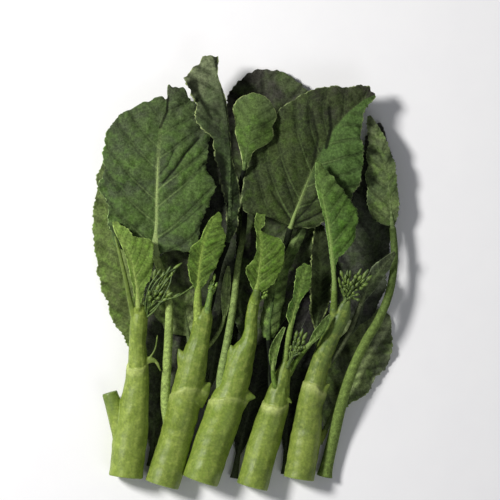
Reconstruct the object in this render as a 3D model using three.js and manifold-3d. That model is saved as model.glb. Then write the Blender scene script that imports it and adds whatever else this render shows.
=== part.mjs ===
import * as THREE from 'three';
import Module from 'manifold-3d';

const wasm = await Module();
wasm.setup();

// The bunch lies on its back side. Stalk butts point to -Y, leaf tips to +Y, +Z is up.
// Plan positions are written on a drawing grid: x runs right, y runs down from the leaf tips.
// Heights and radii are in millimetres.
const GRID = 0.65;
const GRID_X = 247;
const GRID_Y = 274;
const SHIFT = [1.035, 0.162, 0];

const BLADE = 0.8;
const GAP = 0.3;
const FLOOR_DEPTH = 20;
const STEM_SIDES = 12;
const STEM_ROWS = 13;
const SPUR_SIDES = 6;
const BUD_SIDES = 5;
const ACROSS = [-1, -0.62, -0.22, 0, 0.22, 0.62, 1];
const RIB_RISE = 0.35;
const RIB_KEEL = 0.9;
const RIB_TIP = 0.35;
const TOOTH = 0.035;

const COLOURS = {
  "stem": "#7f9647",
  "old_leaf": "#48593a",
  "young_leaf": "#6b8840",
  "shade_leaf": "#3a4632",
  "bud": "#7d9448"
};

// Each path point of a stem is x, y, height of the centre, radius.
// A spur is a short side growth: a leaf scar shoulder, a torn collar or a thin side shoot.
const STEMS = {
  "stem_left": {
    "path": [[125, 478, 10.8, 11.2], [130, 437, 10.6, 11], [134.5, 400, 13, 9], [137.3, 372, 14.8, 6.9],
      [137.8, 358, 15.8, 6.1], [137.4, 342, 16.8, 5.6], [138.4, 328, 18, 5.8], [139.8, 316, 19, 6.1],
      [140.6, 309, 19.8, 4.8], [140.8, 304.5, 20.2, 2.8]],
    "spurs": [
      [[127, 456, 10, 7], [117, 420, 11, 6], [109, 393, 11.6, 5]],
      [[141, 364, 16, 3.2], [148.5, 359, 17.5, 1.2], [155, 349, 18.5, 0.9], [157.5, 335, 19, 0.6]],
      [[146, 360.5, 17, 1.6], [155, 361, 18, 1], [160.5, 371, 17.5, 0.6]],
      [[136, 324, 18.5, 2.6], [131, 304, 22.5, 1.7], [126.5, 281, 25.6, 1.4], [121, 257, 27.6, 1.2],
        [115.5, 236, 28, 0.8]]
    ]
  },
  "stem_wide": {
    "path": [[161.5, 486, 10.8, 11.2], [176, 437, 10.2, 10.5], [184.5, 402, 13.6, 10.8],
      [188.5, 385, 15.2, 9.8], [192.6, 368, 16.6, 9.2], [196, 353, 18, 7.9], [199, 342, 19.2, 6.5],
      [200.8, 331, 20.4, 6], [203, 318, 21.8, 6.4], [204.2, 311, 22.8, 4.8], [204.8, 306, 23.4, 2.8]],
    "spurs": [
      [[194, 393, 15, 7.4], [204, 388, 16.2, 4.6], [211, 383.5, 17, 1.4]],
      [[189, 364, 18, 5.4], [182.5, 356, 19.8, 3], [178.5, 348.5, 20.6, 0.8]],
      [[192, 358, 19, 5], [190, 351, 22.4, 2], [188.8, 347, 23.4, 0.7]]
    ]
  },
  "stem_middle": {
    "path": [[200, 482, 11.6, 12], [215.5, 437, 11.4, 12], [227, 404, 14.2, 11.4],
      [232.5, 389, 15, 9.8], [238, 369, 15.8, 9.3], [243.2, 353.5, 17.4, 7.9], [248, 343, 18.6, 5.7],
      [250.6, 332, 19.6, 4.5], [252.3, 314, 21, 3.8], [254.2, 300, 22.4, 3.2], [255.2, 292, 23.4, 2]],
    "spurs": [
      [[232, 400, 14, 7], [246, 397, 15.5, 4.4], [256, 398, 16, 1.1]],
      [[237, 358, 18.5, 5.4], [232.5, 350, 20.5, 2.8], [230.5, 344.5, 21.4, 0.8]],
      [[243, 353, 19, 5], [240.5, 347, 22.5, 1.8], [240, 343, 23.2, 0.6]]
    ]
  },
  "stem_slim": {
    "path": [[252, 488, 10, 10.4], [266, 437, 9.6, 10], [275, 408, 12, 8.8], [278.4, 393, 13.2, 7.2],
      [282, 380, 14.4, 5.4], [285, 368, 16, 3.8], [286.8, 359, 17.2, 2.2]],
    "spurs": [
      [[279, 404, 14, 5], [286, 400, 16, 2.4], [292, 403, 16.4, 0.8]],
      [[280, 398, 15, 4], [283, 393, 18.4, 1.8], [285, 388.5, 19.4, 0.6]]
    ]
  },
  "stem_right": {
    "path": [[299, 480, 9.6, 10], [306.5, 437, 9.2, 9.9], [309.4, 409, 12, 8.2],
      [312.4, 393, 13.8, 7.4], [316.4, 378, 14.8, 6.9], [320.6, 362, 16.2, 6.1], [327, 346, 18.2, 6],
      [333.6, 331, 20.4, 6], [339.6, 318.5, 22.2, 6.1], [343, 311, 23.2, 4.6], [344.8, 306.5, 24, 2.6]],
    "spurs": [
      [[316, 392, 14, 6.2], [324.5, 388, 15.2, 3.2], [330.5, 385, 15.6, 1.2]],
      [[340, 316, 23, 4.2], [345.5, 305, 25.4, 3], [348.5, 298, 26.6, 1.9]]
    ]
  }
};

// A leaf: stalk points then rib points, each x, y, height. Half widths to the left and right of the
// rib are in grid units at even steps from the blade base to its tip. Slopes are the rise of each
// half away from the rib at base, middle and tip. Wave is height, count and phase of the margin.
const LEAVES = {
  "leaf_left_big": {
    "grows_from": "stem_wide", "colour": "old_leaf", "rows": 16, "radius": [3.3, 2.3],
    "stalk": [[170, 436, 9], [165, 404, 12], [166.8, 365, 14.5], [168.3, 337, 16], [168.8, 305, 17.5],
      [164, 278, 19]],
    "rib": [[155.5, 254, 21], [156.5, 220, 23], [157, 190, 24.5], [159, 150, 24.5], [163, 115, 22],
      [171, 85, 18.5]],
    "left": [3, 38, 45, 49, 52, 54, 55, 55, 53, 47, 28, 9, 1],
    "right": [3, 39, 44, 48, 55, 57, 51, 49, 51, 47, 39, 31, 12],
    "slope_left": [0.3, 0.12, 0], "slope_right": [0.3, 0.1, 0], "arch": [-0.14, -0.16, -0.2],
    "wave": [1.7, 4.5, 0.4], "back": 0.42
  },
  "leaf_folded_tall": {
    "grows_from": "stem_wide", "colour": "old_leaf", "rows": 16, "radius": [2.9, 1.8],
    "stalk": [[204, 322, 19], [210.5, 302, 22], [214.5, 283, 21.5], [220, 262, 21.5]],
    "rib": [[228, 240, 22.5], [230.5, 205, 26], [230, 165, 31], [227, 125, 34.5], [222, 95, 34.5],
      [212.5, 58, 28]],
    "left": [2, 3, 5, 7, 10, 13, 15, 18, 30, 28, 30, 31, 6],
    "right": [2, 8, 9, 8.6, 6.6, 3, 2, 2, 2, 2.5, 1.2, 1.6, 6],
    "slope_left": [-0.6, -0.1, -0.12], "slope_right": [0.2, -1.2, -0.6], "arch": [0, -0.04, 0.1],
    "wave": [1.3, 5, 1.2], "back": 0
  },
  "leaf_back_dark": {
    "grows_from": "stem_middle", "colour": "shade_leaf", "rows": 11, "radius": [2.6, 1.8],
    "stalk": [[245, 376, 9.6], [247.5, 362, 8.2]],
    "rib": [[250, 346, 7], [255, 305, 5.6], [259, 255, 4], [263, 200, 2.6], [266, 130, 1.2],
      [265, 68, 1.8]],
    "left": [2, 17, 23, 25, 25, 27, 30, 34, 38, 40, 40, 36, 7],
    "right": [2, 27, 42, 52, 57, 58, 57, 54, 51, 49, 48, 43, 8],
    "slope_left": [0.14, 0.14, 0.1], "slope_right": [0.0, 0.08, 0.1], "arch": [0, 0, 0.02],
    "wave": [1.1, 4.5, 2.1], "back": 0
  },
  "leaf_round_light": {
    "grows_from": "stem_middle", "colour": "old_leaf", "rows": 12, "radius": [2.8, 1.4],
    "stalk": [[221, 398, 15], [220.5, 378, 18], [226.5, 345, 18], [232.5, 310, 17], [238, 265, 15],
      [243.5, 232, 13], [244.6, 207, 13], [240.6, 186, 18.6]],
    "rib": [[244.5, 168, 27], [248, 140, 31.5], [253.5, 115, 32], [257.5, 94.5, 29]],
    "left": [2, 4, 7, 12, 15.5, 18.5, 21, 18, 4], "right": [2, 5, 9, 20, 24, 21, 23, 18, 2],
    "slope_left": [0, -0.1, -0.1], "slope_right": [0, -0.1, -0.1], "arch": [0, -0.2, -0.1],
    "wave": [1, 3, 0.3], "back": 0
  },
  "leaf_right_big": {
    "grows_from": "stem_slim", "colour": "old_leaf", "rows": 16, "radius": [2.6, 2],
    "stalk": [[275, 404, 8], [272, 385, 8.4], [272, 350, 10], [271.5, 320, 10.6], [272.5, 290, 10.2],
      [279, 263, 9.6], [285.5, 246, 9.8]],
    "rib": [[291, 226, 19], [302, 195, 21], [317, 160, 22], [339, 122, 21.5], [362, 101, 20],
      [375, 95, 19]],
    "left": [3, 53, 60, 64, 60, 54, 41, 22.5, 1.5], "right": [3, 28, 44, 48, 45, 39, 25, 11, 2],
    "slope_left": [0.22, 0.18, 0.2], "slope_right": [0.2, 0.28, 0.3], "arch": [-0.12, -0.16, -0.1],
    "wave": [1.5, 5.5, 0.9], "back": 0.6
  },
  "leaf_right_edge": {
    "grows_from": "", "colour": "old_leaf", "rows": 11, "radius": [4.1, 2.2],
    "stalk": [[325, 478, 3.9], [334.5, 437, 6], [343, 401, 11], [353, 370, 14], [366.5, 341, 15],
      [379, 320, 15], [390, 292, 14], [395, 258, 12.5]],
    "rib": [[393, 226, 12.5], [389.5, 190, 15], [381.5, 148, 16.5], [369, 115, 15]],
    "left": [2, 20, 23, 22, 20, 17, 12, 7, 1.5], "right": [2, 6, 8, 9, 9, 8, 7, 5, 1.5],
    "slope_left": [0.2, 0.15, 0.2], "slope_right": [0, -0.2, -0.2], "arch": [0, -0.06, 0],
    "wave": [1, 3.5, 2.4], "back": 0.25
  },
  "leaf_half_view": {
    "grows_from": "stem_right", "colour": "old_leaf", "rows": 14, "radius": [2.6, 1.7],
    "stalk": [[334, 322, 23], [333.5, 305, 27]],
    "rib": [[334, 288, 30], [332, 262, 33], [328, 225, 35], [323, 200, 35.5], [317, 163, 33]],
    "left": [1.5, 2, 2, 2.4, 3, 3.4, 4, 4.5, 1.5], "right": [1.5, 2.5, 9, 24, 29, 29, 20, 11, 1.5],
    "slope_left": [-0.6, -1.1, -0.6], "slope_right": [0.1, 0.1, 0], "arch": [0, -0.22, -0.2],
    "wave": [1.4, 3.5, 0.2], "back": 0
  },
  "young_leaf_wide": {
    "grows_from": "stem_wide", "colour": "young_leaf", "rows": 12, "radius": [3.4, 2.4],
    "stalk": [[200, 322, 22], [198, 310, 25]],
    "rib": [[198, 298, 28], [199, 275, 30.5], [201, 257, 32], [205, 238, 33], [212, 222, 33],
      [220, 213, 32]],
    "left": [1.5, 4, 9, 12, 12, 5, 3, 3, 1.2], "right": [1.5, 3.5, 10, 16, 19, 21, 19, 12, 2],
    "slope_left": [0.2, 0.25, 0.2], "slope_right": [0.2, 0.2, 0.2], "arch": [0, -0.1, -0.1],
    "wave": [0.9, 4, 1.1], "back": 0
  },
  "young_leaf_middle": {
    "grows_from": "stem_middle", "colour": "young_leaf", "rows": 14, "radius": [2.6, 2],
    "stalk": [[254.6, 303, 22.6]],
    "rib": [[256.4, 292, 25.4], [259, 270, 28.5], [261, 250, 30.5], [260, 230, 31], [260.5, 214, 30]],
    "left": [1.2, 8, 12.5, 8, 5, 4.5, 3.5, 6, 4], "right": [1.2, 15, 20, 22, 23.5, 22, 6, 4.5, 5],
    "slope_left": [0.3, 0.3, 0.2], "slope_right": [0.2, 0.15, 0.1], "arch": [0, -0.1, 0],
    "wave": [1, 4, 2.2], "back": 0
  },
  "young_leaf_slim": {
    "grows_from": "stem_slim", "colour": "young_leaf", "rows": 12, "radius": [2.4, 1.8],
    "stalk": [[284, 373, 14.4], [286.6, 352, 19]],
    "rib": [[289.5, 332, 23.5], [292.5, 318, 26], [296.5, 302, 28.5], [301.5, 282, 30.5],
      [307.5, 264, 31]],
    "left": [1.2, 2, 7, 7.5, 5, 6, 7, 9, 3], "right": [1.2, 2.5, 2.5, 3, 4, 7.5, 8.5, 6.5, 2],
    "slope_left": [0.2, 0.1, 0], "slope_right": [0.2, 0.2, 0.1], "arch": [0, 0, -0.1],
    "wave": [0.7, 3, 0.4], "back": 0
  },
  "leaf_rolled_long": {
    "grows_from": "stem_slim", "colour": "shade_leaf", "rows": 9, "radius": [2, 1.5],
    "stalk": [[277, 398, 13], [272.5, 380, 14], [270, 356, 15.5]],
    "rib": [[268.5, 338, 17.5], [271.5, 310, 18.5], [278, 280, 18.5], [289, 254, 16.5], [303, 228, 13.5]],
    "left": [5, 9, 8.5, 7.5, 6.5, 5.5, 4, 4, 3], "right": [5, 10, 10.5, 10.5, 9.5, 7.5, 6.5, 6.5, 4],
    "slope_left": [-0.2, -0.3, -0.3], "slope_right": [-0.2, -0.3, -0.3], "arch": [-0.2, -0.25, -0.3],
    "wave": [0.4, 3, 0.8], "back": 0
  },
  "leaf_left_under": {
    "grows_from": "stem_left", "colour": "shade_leaf", "rows": 10, "radius": [2.5, 2],
    "stalk": [[139, 380, 7], [138, 366, 5]],
    "rib": [[136.5, 352, 4.4], [131, 318, 6], [125.4, 275, 6.4], [119.5, 242, 5], [113, 195, 2],
      [109, 150, 0.8]],
    "left": [3, 15, 23, 26, 27, 25, 21, 15, 2], "right": [3, 9, 15, 20, 25, 28, 26, 18, 2],
    "slope_left": [0.1, 0.06, 0.06], "slope_right": [0.05, 0.06, 0.08], "arch": [0, 0, 0],
    "wave": [0.9, 4, 1.6], "back": 0.1
  },
  "leaf_right_under": {
    "grows_from": "stem_right", "colour": "shade_leaf", "rows": 10, "radius": [2.3, 1.7],
    "stalk": [[319, 444, 4.6], [323, 437, 2.8]],
    "rib": [[327, 430, 1.8], [350, 372, 2.2], [368, 340, 1.6], [387, 312, 1]],
    "left": [1.5, 13, 20, 24, 28, 31, 30, 20, 2], "right": [1.5, 4, 16, 24, 29, 31, 28, 19, 2],
    "slope_left": [0.03, 0.05, 0.1], "slope_right": [0.05, 0.05, 0.06], "arch": [0, 0, 0],
    "wave": [0.8, 3.5, 0.1], "back": 0.1
  },
  "leaf_right_shade": {
    "grows_from": "stem_right", "colour": "shade_leaf", "rows": 9, "radius": [2.2, 1.6],
    "stalk": [[327, 352, 13], [336, 346, 10.5], [346, 337, 9]],
    "rib": [[358, 324, 8.6], [371, 268, 7.6], [380, 215, 5], [383, 165, 3], [380, 122, 2]],
    "left": [2, 36, 42, 42, 36, 28, 24, 17, 2], "right": [2, 16, 18, 16, 14, 12, 11, 8, 2],
    "slope_left": [0.1, 0.1, 0.1], "slope_right": [0.1, 0.06, 0], "arch": [0, -0.05, 0],
    "wave": [1, 3.5, 1.4], "back": 0
  },
  "leaf_right_folded": {
    "grows_from": "stem_right", "colour": "shade_leaf", "rows": 8, "radius": [1.9, 1.5],
    "stalk": [[325, 370, 15.4], [333.5, 358, 17], [342, 346, 17.6], [350.5, 330, 18.6],
      [357, 313, 19.6]],
    "rib": [[361, 303, 20.4], [369, 286, 21.6], [382, 268, 21.4], [395, 253, 19]],
    "left": [1.5, 4, 6.5, 7.5, 7.5, 7, 6, 4.5, 1.2], "right": [1.5, 4, 6, 7, 7, 6.5, 6, 4, 1.2],
    "slope_left": [0.3, 0.6, 0.5], "slope_right": [-0.3, -0.6, -0.6], "arch": [0, 0, 0],
    "wave": [0.6, 3, 0.5], "back": 0
  },
  "leaf_gap_left": {
    "grows_from": "stem_wide", "colour": "shade_leaf", "rows": 8, "radius": [1.9, 1.5],
    "stalk": [[190, 372, 10.5], [190, 354, 8.6]],
    "rib": [[188, 336, 7.6], [185, 310, 8], [182.5, 280, 8.4], [182, 245, 8.4]],
    "left": [2, 22, 30, 34, 36, 34, 30, 23, 2], "right": [2, 8, 12, 14, 15, 15, 13, 10, 2],
    "slope_left": [0.1, 0.15, 0.1], "slope_right": [0, 0.05, 0.1], "arch": [0, -0.1, 0],
    "wave": [0.8, 3, 2.6], "back": 0.2
  },
  "young_leaf_left": {
    "grows_from": "stem_left", "colour": "young_leaf", "rows": 13, "radius": [2.5, 1.9],
    "stalk": [[139.4, 321, 18.6]],
    "rib": [[138.6, 308, 22.5], [137, 288, 26], [134, 270, 28.6], [129, 254, 30.4], [122, 240, 31],
      [114, 222, 30]],
    "left": [1.5, 3, 4, 4.5, 4, 3, 2.5, 2.5, 1.2], "right": [1.5, 5, 11, 18, 22, 26, 14, 9, 1.5],
    "slope_left": [0.2, 0.3, 0.2], "slope_right": [0.1, 0.16, 0.1], "arch": [0, -0.12, -0.1],
    "wave": [0.9, 3.5, 0.7], "back": 0
  },
  "leaf_small_shade": {
    "grows_from": "stem_wide", "colour": "shade_leaf", "rows": 7, "radius": [1.4, 1.1],
    "stalk": [[204, 350, 15], [213, 341, 15.4], [220, 330, 15]],
    "rib": [[224, 318, 15], [225.6, 304, 15], [226.6, 286, 15], [228.5, 266, 15]],
    "left": [1, 3, 4.5, 5, 5, 4.6, 4, 2.6, 1], "right": [1, 2.6, 3.6, 4, 4, 4, 3.4, 2.4, 1],
    "slope_left": [0.3, 0.3, 0.3], "slope_right": [0.2, 0.2, 0.2], "arch": [0, 0, 0],
    "wave": [0.5, 2.5, 0.2], "back": 0
  },
  "leaf_ruffled_shade": {
    "grows_from": "stem_right", "colour": "shade_leaf", "rows": 12, "radius": [1.7, 1.3],
    "stalk": [[323, 356, 15], [317.5, 344, 15.4]],
    "rib": [[317, 330, 15.4], [319.5, 298, 15.8], [320, 262, 15], [319, 222, 12]],
    "left": [1.5, 6, 8, 9, 9, 9, 8, 6, 1.5], "right": [1.5, 6, 9, 12, 13, 13, 11, 8, 1.5],
    "slope_left": [0.3, 0.3, 0.2], "slope_right": [0, 0.1, 0.2], "arch": [0, 0, -0.1],
    "wave": [1.4, 4.5, 1.9], "back": 0
  },
  "leaf_spear": {
    "grows_from": "stem_slim", "colour": "young_leaf", "rows": 9, "radius": [2.1, 1.6],
    "stalk": [[288.4, 374, 14], [296, 361.5, 17.6], [303.6, 351, 22]],
    "rib": [[308, 345.5, 25.4], [315, 337.5, 28], [322, 328, 30.4], [329.5, 314.5, 31.6]],
    "left": [1.2, 2.6, 4, 5, 5.4, 5, 4.4, 3, 1], "right": [1.2, 2, 2.6, 3.4, 4, 4, 3.4, 2.4, 1],
    "slope_left": [0.2, 0.1, 0], "slope_right": [0.2, 0.1, 0.2], "arch": [0, -0.1, 0],
    "wave": [0.4, 2, 0.2], "back": 0
  },
  "leaf_bract": {
    "grows_from": "stem_slim", "colour": "young_leaf", "rows": 8, "radius": [1.9, 1.4],
    "stalk": [[277.5, 394, 16], [274, 380, 19.6]],
    "rib": [[273, 368, 21.4], [274, 354, 23], [278, 341, 24], [284.5, 327, 24.4]],
    "left": [1.8, 3.6, 4.8, 5.2, 5, 4.4, 3.6, 2.6, 1.2], "right": [1.8, 3, 3.6, 3.8, 3.6, 3, 2.4, 1.8, 1],
    "slope_left": [0.2, 0.4, 0.3], "slope_right": [0.2, 0.3, 0.3], "arch": [0, 0, 0],
    "wave": [0.3, 2, 0.2], "back": 0
  },
  "leaf_floor_left": {
    "grows_from": "", "colour": "shade_leaf", "rows": 8, "radius": [2.2, 1.6],
    "stalk": [[149.5, 468, 2.6], [150.5, 460, 2.6]],
    "rib": [[151.5, 450, 2.6], [154, 405, 2.4], [157, 350, 2], [159, 276, 2]],
    "left": [2, 7, 8, 10, 13, 16, 16, 13, 2], "right": [2, 9, 11, 19, 28, 30, 30, 24, 2],
    "slope_left": [0.2, 0.1, 0.1], "slope_right": [0.2, 0.1, 0.1], "arch": [0, 0, 0],
    "wave": [0.7, 3, 0.7], "back": 0
  },
  "leaf_floor_middle": {
    "grows_from": "", "colour": "shade_leaf", "rows": 9, "radius": [2.2, 1.6],
    "stalk": [[234, 480, 3], [236, 468, 3]],
    "rib": [[238, 456, 2.8], [249, 412, 2.2], [261, 362, 1.6], [272, 268, 1.6]],
    "left": [2, 9, 11, 20, 30, 33, 30, 20, 2], "right": [2, 9, 13, 30, 42, 46, 47, 42, 2],
    "slope_left": [0.1, 0.05, 0.1], "slope_right": [0.05, 0.03, 0.05], "arch": [0, 0, 0],
    "wave": [0.7, 3, 1.7], "back": 0
  },
  "leaf_floor_right": {
    "grows_from": "", "colour": "shade_leaf", "rows": 8, "radius": [1.8, 1.4],
    "stalk": [[284.5, 476, 2.2], [285.5, 464, 2.2]],
    "rib": [[286, 452, 2.4], [290, 405, 4.2], [301, 362, 5.2], [318, 296, 5.2]],
    "left": [2, 6, 6, 8, 10, 12, 9, 5, 2], "right": [2, 7, 7, 9, 15, 22, 24, 18, 2],
    "slope_left": [0.1, 0.02, 0.05], "slope_right": [0.05, 0.02, 0.05], "arch": [0, 0, 0],
    "wave": [0.6, 3, 1.2], "back": 0
  },
  "leaf_middle_under": {
    "grows_from": "stem_wide", "colour": "shade_leaf", "rows": 8, "radius": [2, 1.5],
    "stalk": [[202, 404, 8.4], [205, 396, 7.4]],
    "rib": [[208, 388, 7], [212, 368, 7.6], [217, 335, 8.6], [220, 285, 10.6], [220, 215, 11.2],
      [213, 130, 11.4]],
    "left": [2, 9, 14, 22, 23, 22, 20, 14, 2], "right": [2, 9, 13, 15, 15, 15, 14, 9, 2],
    "slope_left": [0, 0.05, 0.05], "slope_right": [0, 0.03, 0], "arch": [0, 0, 0],
    "wave": [0.9, 3.5, 0.9], "back": 0
  }
};

// A spray of closed flower buds: the shoot it stands on, then where the buds reach.
const SPRAYS = {
  "buds_left": {
    "grows_from": "stem_left", "seed": 11, "root": [143.4, 320, 17.6], "neck": [149.6, 303, 22],
    "radius": 1.5,
    "tips": [[147.5, 288, 24.4], [151.5, 277, 25], [156, 268, 27], [160, 284, 25], [165, 271, 27],
      [171, 266, 28],
      [178, 266, 26], [169, 281, 24], [181, 293, 24], [157, 292, 27], [150, 290, 29], [173, 292, 26]]
  },
  "buds_middle": {
    "grows_from": "stem_middle", "seed": 23, "root": [257, 303.5, 20.8], "neck": [261.8, 297, 22],
    "radius": 1.1,
    "tips": [[262.5, 286, 25], [266.5, 289, 24], [266, 296, 24.6], [264, 281, 23.4]]
  },
  "buds_slim": {
    "grows_from": "stem_slim", "seed": 37, "root": [287, 368, 19], "neck": [293.6, 353, 23],
    "radius": 1.3,
    "tips": [[297, 330, 26], [300, 336, 27.5], [303, 328, 25.6], [305, 340, 26.6], [300.5, 346, 26],
      [307, 332, 27],
      [294, 340, 25], [301, 352, 25.4]]
  },
  "buds_right": {
    "grows_from": "stem_right", "seed": 53, "root": [342, 308, 25], "neck": [348, 293, 28], "radius": 1.6,
    "tips": [[340, 270, 30], [345, 274, 32], [350, 270, 30], [356, 274, 31], [361, 268, 30],
      [368, 269, 31],
      [342, 281, 32], [351, 281, 34], [358, 282, 32], [365, 278, 30.4], [372, 275, 30], [354, 291, 30],
      [363, 287, 30], [346, 289, 32]]
  },
  "buds_wide": {
    "grows_from": "stem_wide", "seed": 71, "root": [206.5, 314, 24.6], "neck": [211, 291, 28],
    "radius": 1.3,
    "tips": [[214, 277, 27.4], [209.5, 283, 27.6], [217.5, 282, 27], [213, 285, 29.4]]
  }
};

function onPlan(point) {
  return new THREE.Vector3((point[0] - GRID_X) * GRID, (GRID_Y - point[1]) * GRID, point[2]);
}

// A smooth run through points of any size, measured 0 to 1 by the length between the points.
function makeRun(points) {
  const at = [0];
  for (let i = 1; i < points.length; i += 1) {
    let square = 0;
    for (let k = 0; k < 3; k += 1) {
      square += (points[i][k] - points[i - 1][k]) ** 2;
    }
    at.push(at[i - 1] + Math.sqrt(square));
  }
  const total = at[at.length - 1];
  const marks = at.map((value) => value / total);
  const last = points.length - 1;
  const slopes = points.map((point, i) => {
    const before = Math.max(i - 1, 0);
    const after = Math.min(i + 1, last);
    const span = marks[after] - marks[before];
    return point.map((unused, k) => (points[after][k] - points[before][k]) / span);
  });
  function sample(t) {
    let i = 0;
    while (i < last - 1 && t > marks[i + 1]) {
      i += 1;
    }
    const span = marks[i + 1] - marks[i];
    const u = (t - marks[i]) / span;
    const a = 2 * u ** 3 - 3 * u ** 2 + 1;
    const b = u ** 3 - 2 * u ** 2 + u;
    const c = 3 * u ** 2 - 2 * u ** 3;
    const d = u ** 3 - u ** 2;
    return points[i].map((value, k) => a * value + b * span * slopes[i][k]
      + c * points[i + 1][k] + d * span * slopes[i + 1][k]);
  }
  return { marks, total, sample };
}

function runPoints(list) {
  return list.map((point) => {
    const place = onPlan(point);
    return [place.x, place.y, place.z, ...point.slice(3)];
  });
}

function runPlace(run, t) {
  const value = run.sample(t);
  return new THREE.Vector3(value[0], value[1], value[2]);
}

function runHeading(run, t) {
  const step = 0.002;
  const from = Math.max(t - step, 0);
  const to = Math.min(t + step, 1);
  return runPlace(run, to).sub(runPlace(run, from)).normalize();
}

// Smooth value at s, 0 to 1, of numbers given at even steps.
function evenValue(list, s) {
  const place = Math.min(Math.max(s, 0), 1) * (list.length - 1);
  const i = Math.min(Math.floor(place), list.length - 2);
  const u = place - i;
  const before = list[Math.max(i - 1, 0)];
  const after = list[Math.min(i + 2, list.length - 1)];
  const slopeA = (list[i + 1] - before) / (i === 0 ? 1 : 2);
  const slopeB = (after - list[i]) / (i + 2 > list.length - 1 ? 1 : 2);
  return (2 * u ** 3 - 3 * u ** 2 + 1) * list[i] + (u ** 3 - 2 * u ** 2 + u) * slopeA
    + (3 * u ** 2 - 2 * u ** 3) * list[i + 1] + (u ** 3 - u ** 2) * slopeB;
}

function halfWidth(list, s) {
  const squares = list.map((value) => value * value);
  return Math.sqrt(Math.max(evenValue(squares, s), 0.3)) * GRID;
}

function smooth(from, to, value) {
  const u = Math.min(Math.max((value - from) / (to - from), 0), 1);
  return u * u * (3 - 2 * u);
}

// Joins rings of equal size into one closed skin. Thin rings have a twin face underneath,
// so their underside is split along the same diagonals as their upper side.
function skinRings(rings, thin) {
  const size = rings[0].length;
  const vertices = rings.flat();
  const faces = [];
  const half = size / 2;
  for (let i = 0; i < rings.length - 1; i += 1) {
    for (let k = 0; k < size; k += 1) {
      const next = (k + 1) % size;
      const a = i * size + k;
      const b = i * size + next;
      const c = a + size;
      const d = b + size;
      if (thin && k >= half) {
        faces.push([a, b, c], [b, d, c]);
      } else {
        faces.push([a, b, d], [a, d, c]);
      }
    }
  }
  for (const start of [0, (rings.length - 1) * size]) {
    const flip = start > 0;
    for (let k = 0; k < half - 1; k += 1) {
      const a = start + k;
      const b = start + k + 1;
      const c = start + size - 1 - k;
      const d = start + size - 2 - k;
      const pair = flip ? [[a, b, d], [a, d, c]] : [[a, d, b], [a, c, d]];
      faces.push(...pair);
    }
  }
  return { vertices, faces };
}

function skinVolume(skin) {
  let sum = 0;
  for (const face of skin.faces) {
    const [a, b, c] = face.map((index) => skin.vertices[index]);
    sum += a.dot(b.clone().cross(c)) / 6;
  }
  return sum;
}

function toSolid(skin) {
  const turned = skinVolume(skin) < 0;
  const vertProperties = new Float32Array(skin.vertices.length * 3);
  skin.vertices.forEach((vertex, i) => vertex.toArray(vertProperties, i * 3));
  const triVerts = new Uint32Array(skin.faces.length * 3);
  skin.faces.forEach((face, i) => {
    triVerts[i * 3] = face[0];
    triVerts[i * 3 + 1] = turned ? face[2] : face[1];
    triVerts[i * 3 + 2] = turned ? face[1] : face[2];
  });
  return new wasm.Manifold(new wasm.Mesh({ numProp: 3, vertProperties, triVerts }));
}

function sideOf(heading) {
  return new THREE.Vector3(heading.y, -heading.x, 0).normalize();
}

// A round shoot through points that carry a radius as their fourth number. With no number of
// rows it has one ring at each point.
function tubeSolid(list, sides, rows, extra, ridge) {
  const run = makeRun(runPoints(list));
  const rings = [];
  const last = rows || list.length - 1;
  for (let i = 0; i <= last; i += 1) {
    const t = rows ? i / rows : run.marks[i];
    const place = runPlace(run, t);
    const heading = runHeading(run, t);
    const side = sideOf(heading);
    const up = side.clone().cross(heading);
    const radius = run.sample(t)[3] + extra;
    const push = (i === 0 ? -extra : 0) + (i === last ? extra : 0);
    const ring = [];
    for (let k = 0; k < sides; k += 1) {
      const angle = Math.PI - (k + 0.5) / sides * 2 * Math.PI;
      const reach = radius * (1 + ridge * Math.cos(4 * angle + 3 * t));
      ring.push(place.clone().addScaledVector(side, reach * Math.cos(angle))
        .addScaledVector(up, reach * Math.sin(angle)).addScaledVector(heading, push));
    }
    rings.push(ring);
  }
  return toSolid(skinRings(rings, false));
}

function boxSolid(low, high) {
  const rings = [low[1], high[1]].map((y) => [
    new THREE.Vector3(low[0], y, high[2]),
    new THREE.Vector3(high[0], y, high[2]),
    new THREE.Vector3(high[0], y, low[2]),
    new THREE.Vector3(low[0], y, low[2])
  ]);
  return toSolid(skinRings(rings, false));
}

const ground = boxSolid([-400, -400, -FLOOR_DEPTH], [400, 400, 0]);

function stemSolid(stem, extra) {
  let solid = tubeSolid(stem.path, STEM_SIDES, STEM_ROWS, extra, 0.02);
  for (const spur of stem.spurs) {
    solid = solid.add(tubeSolid(spur, SPUR_SIDES, 5, extra, 0));
  }
  return solid;
}

// The middle sheet of a blade at s along the rib and v across it, -1 left margin to 1 right margin.
function bladePoint(leaf, run, start, s, v, tooth) {
  const t = start + (1 - start) * s;
  const place = runPlace(run, t);
  const heading = runHeading(run, t);
  const side = sideOf(heading);
  const right = v > 0;
  const across = Math.abs(v);
  const width = halfWidth(right ? leaf.right : leaf.left, s) * (1 + tooth * across ** 4);
  const slope = evenValue(right ? leaf.slope_right : leaf.slope_left, s);
  const arch = evenValue(leaf.arch, s);
  const [height, count, phase] = leaf.wave;
  const fade = Math.sin(Math.PI * Math.min(s * 1.04 + 0.02, 1)) ** 0.5;
  const turn = 2 * Math.PI * count * s + phase + (right ? 2.1 : 0);
  const wave = height * fade * across ** 2 * Math.sin(turn) * Math.min(width / 6, 1);
  const lift = slope * across * width + arch * across ** 2 * width + wave;
  const back = leaf.back * across ** 2 * width * (1 - s) ** 6 * smooth(0, 0.1, s);
  return place.addScaledVector(side, Math.sign(v) * across * width)
    .addScaledVector(new THREE.Vector3(0, 0, 1), lift)
    .addScaledVector(heading, -back);
}

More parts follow.
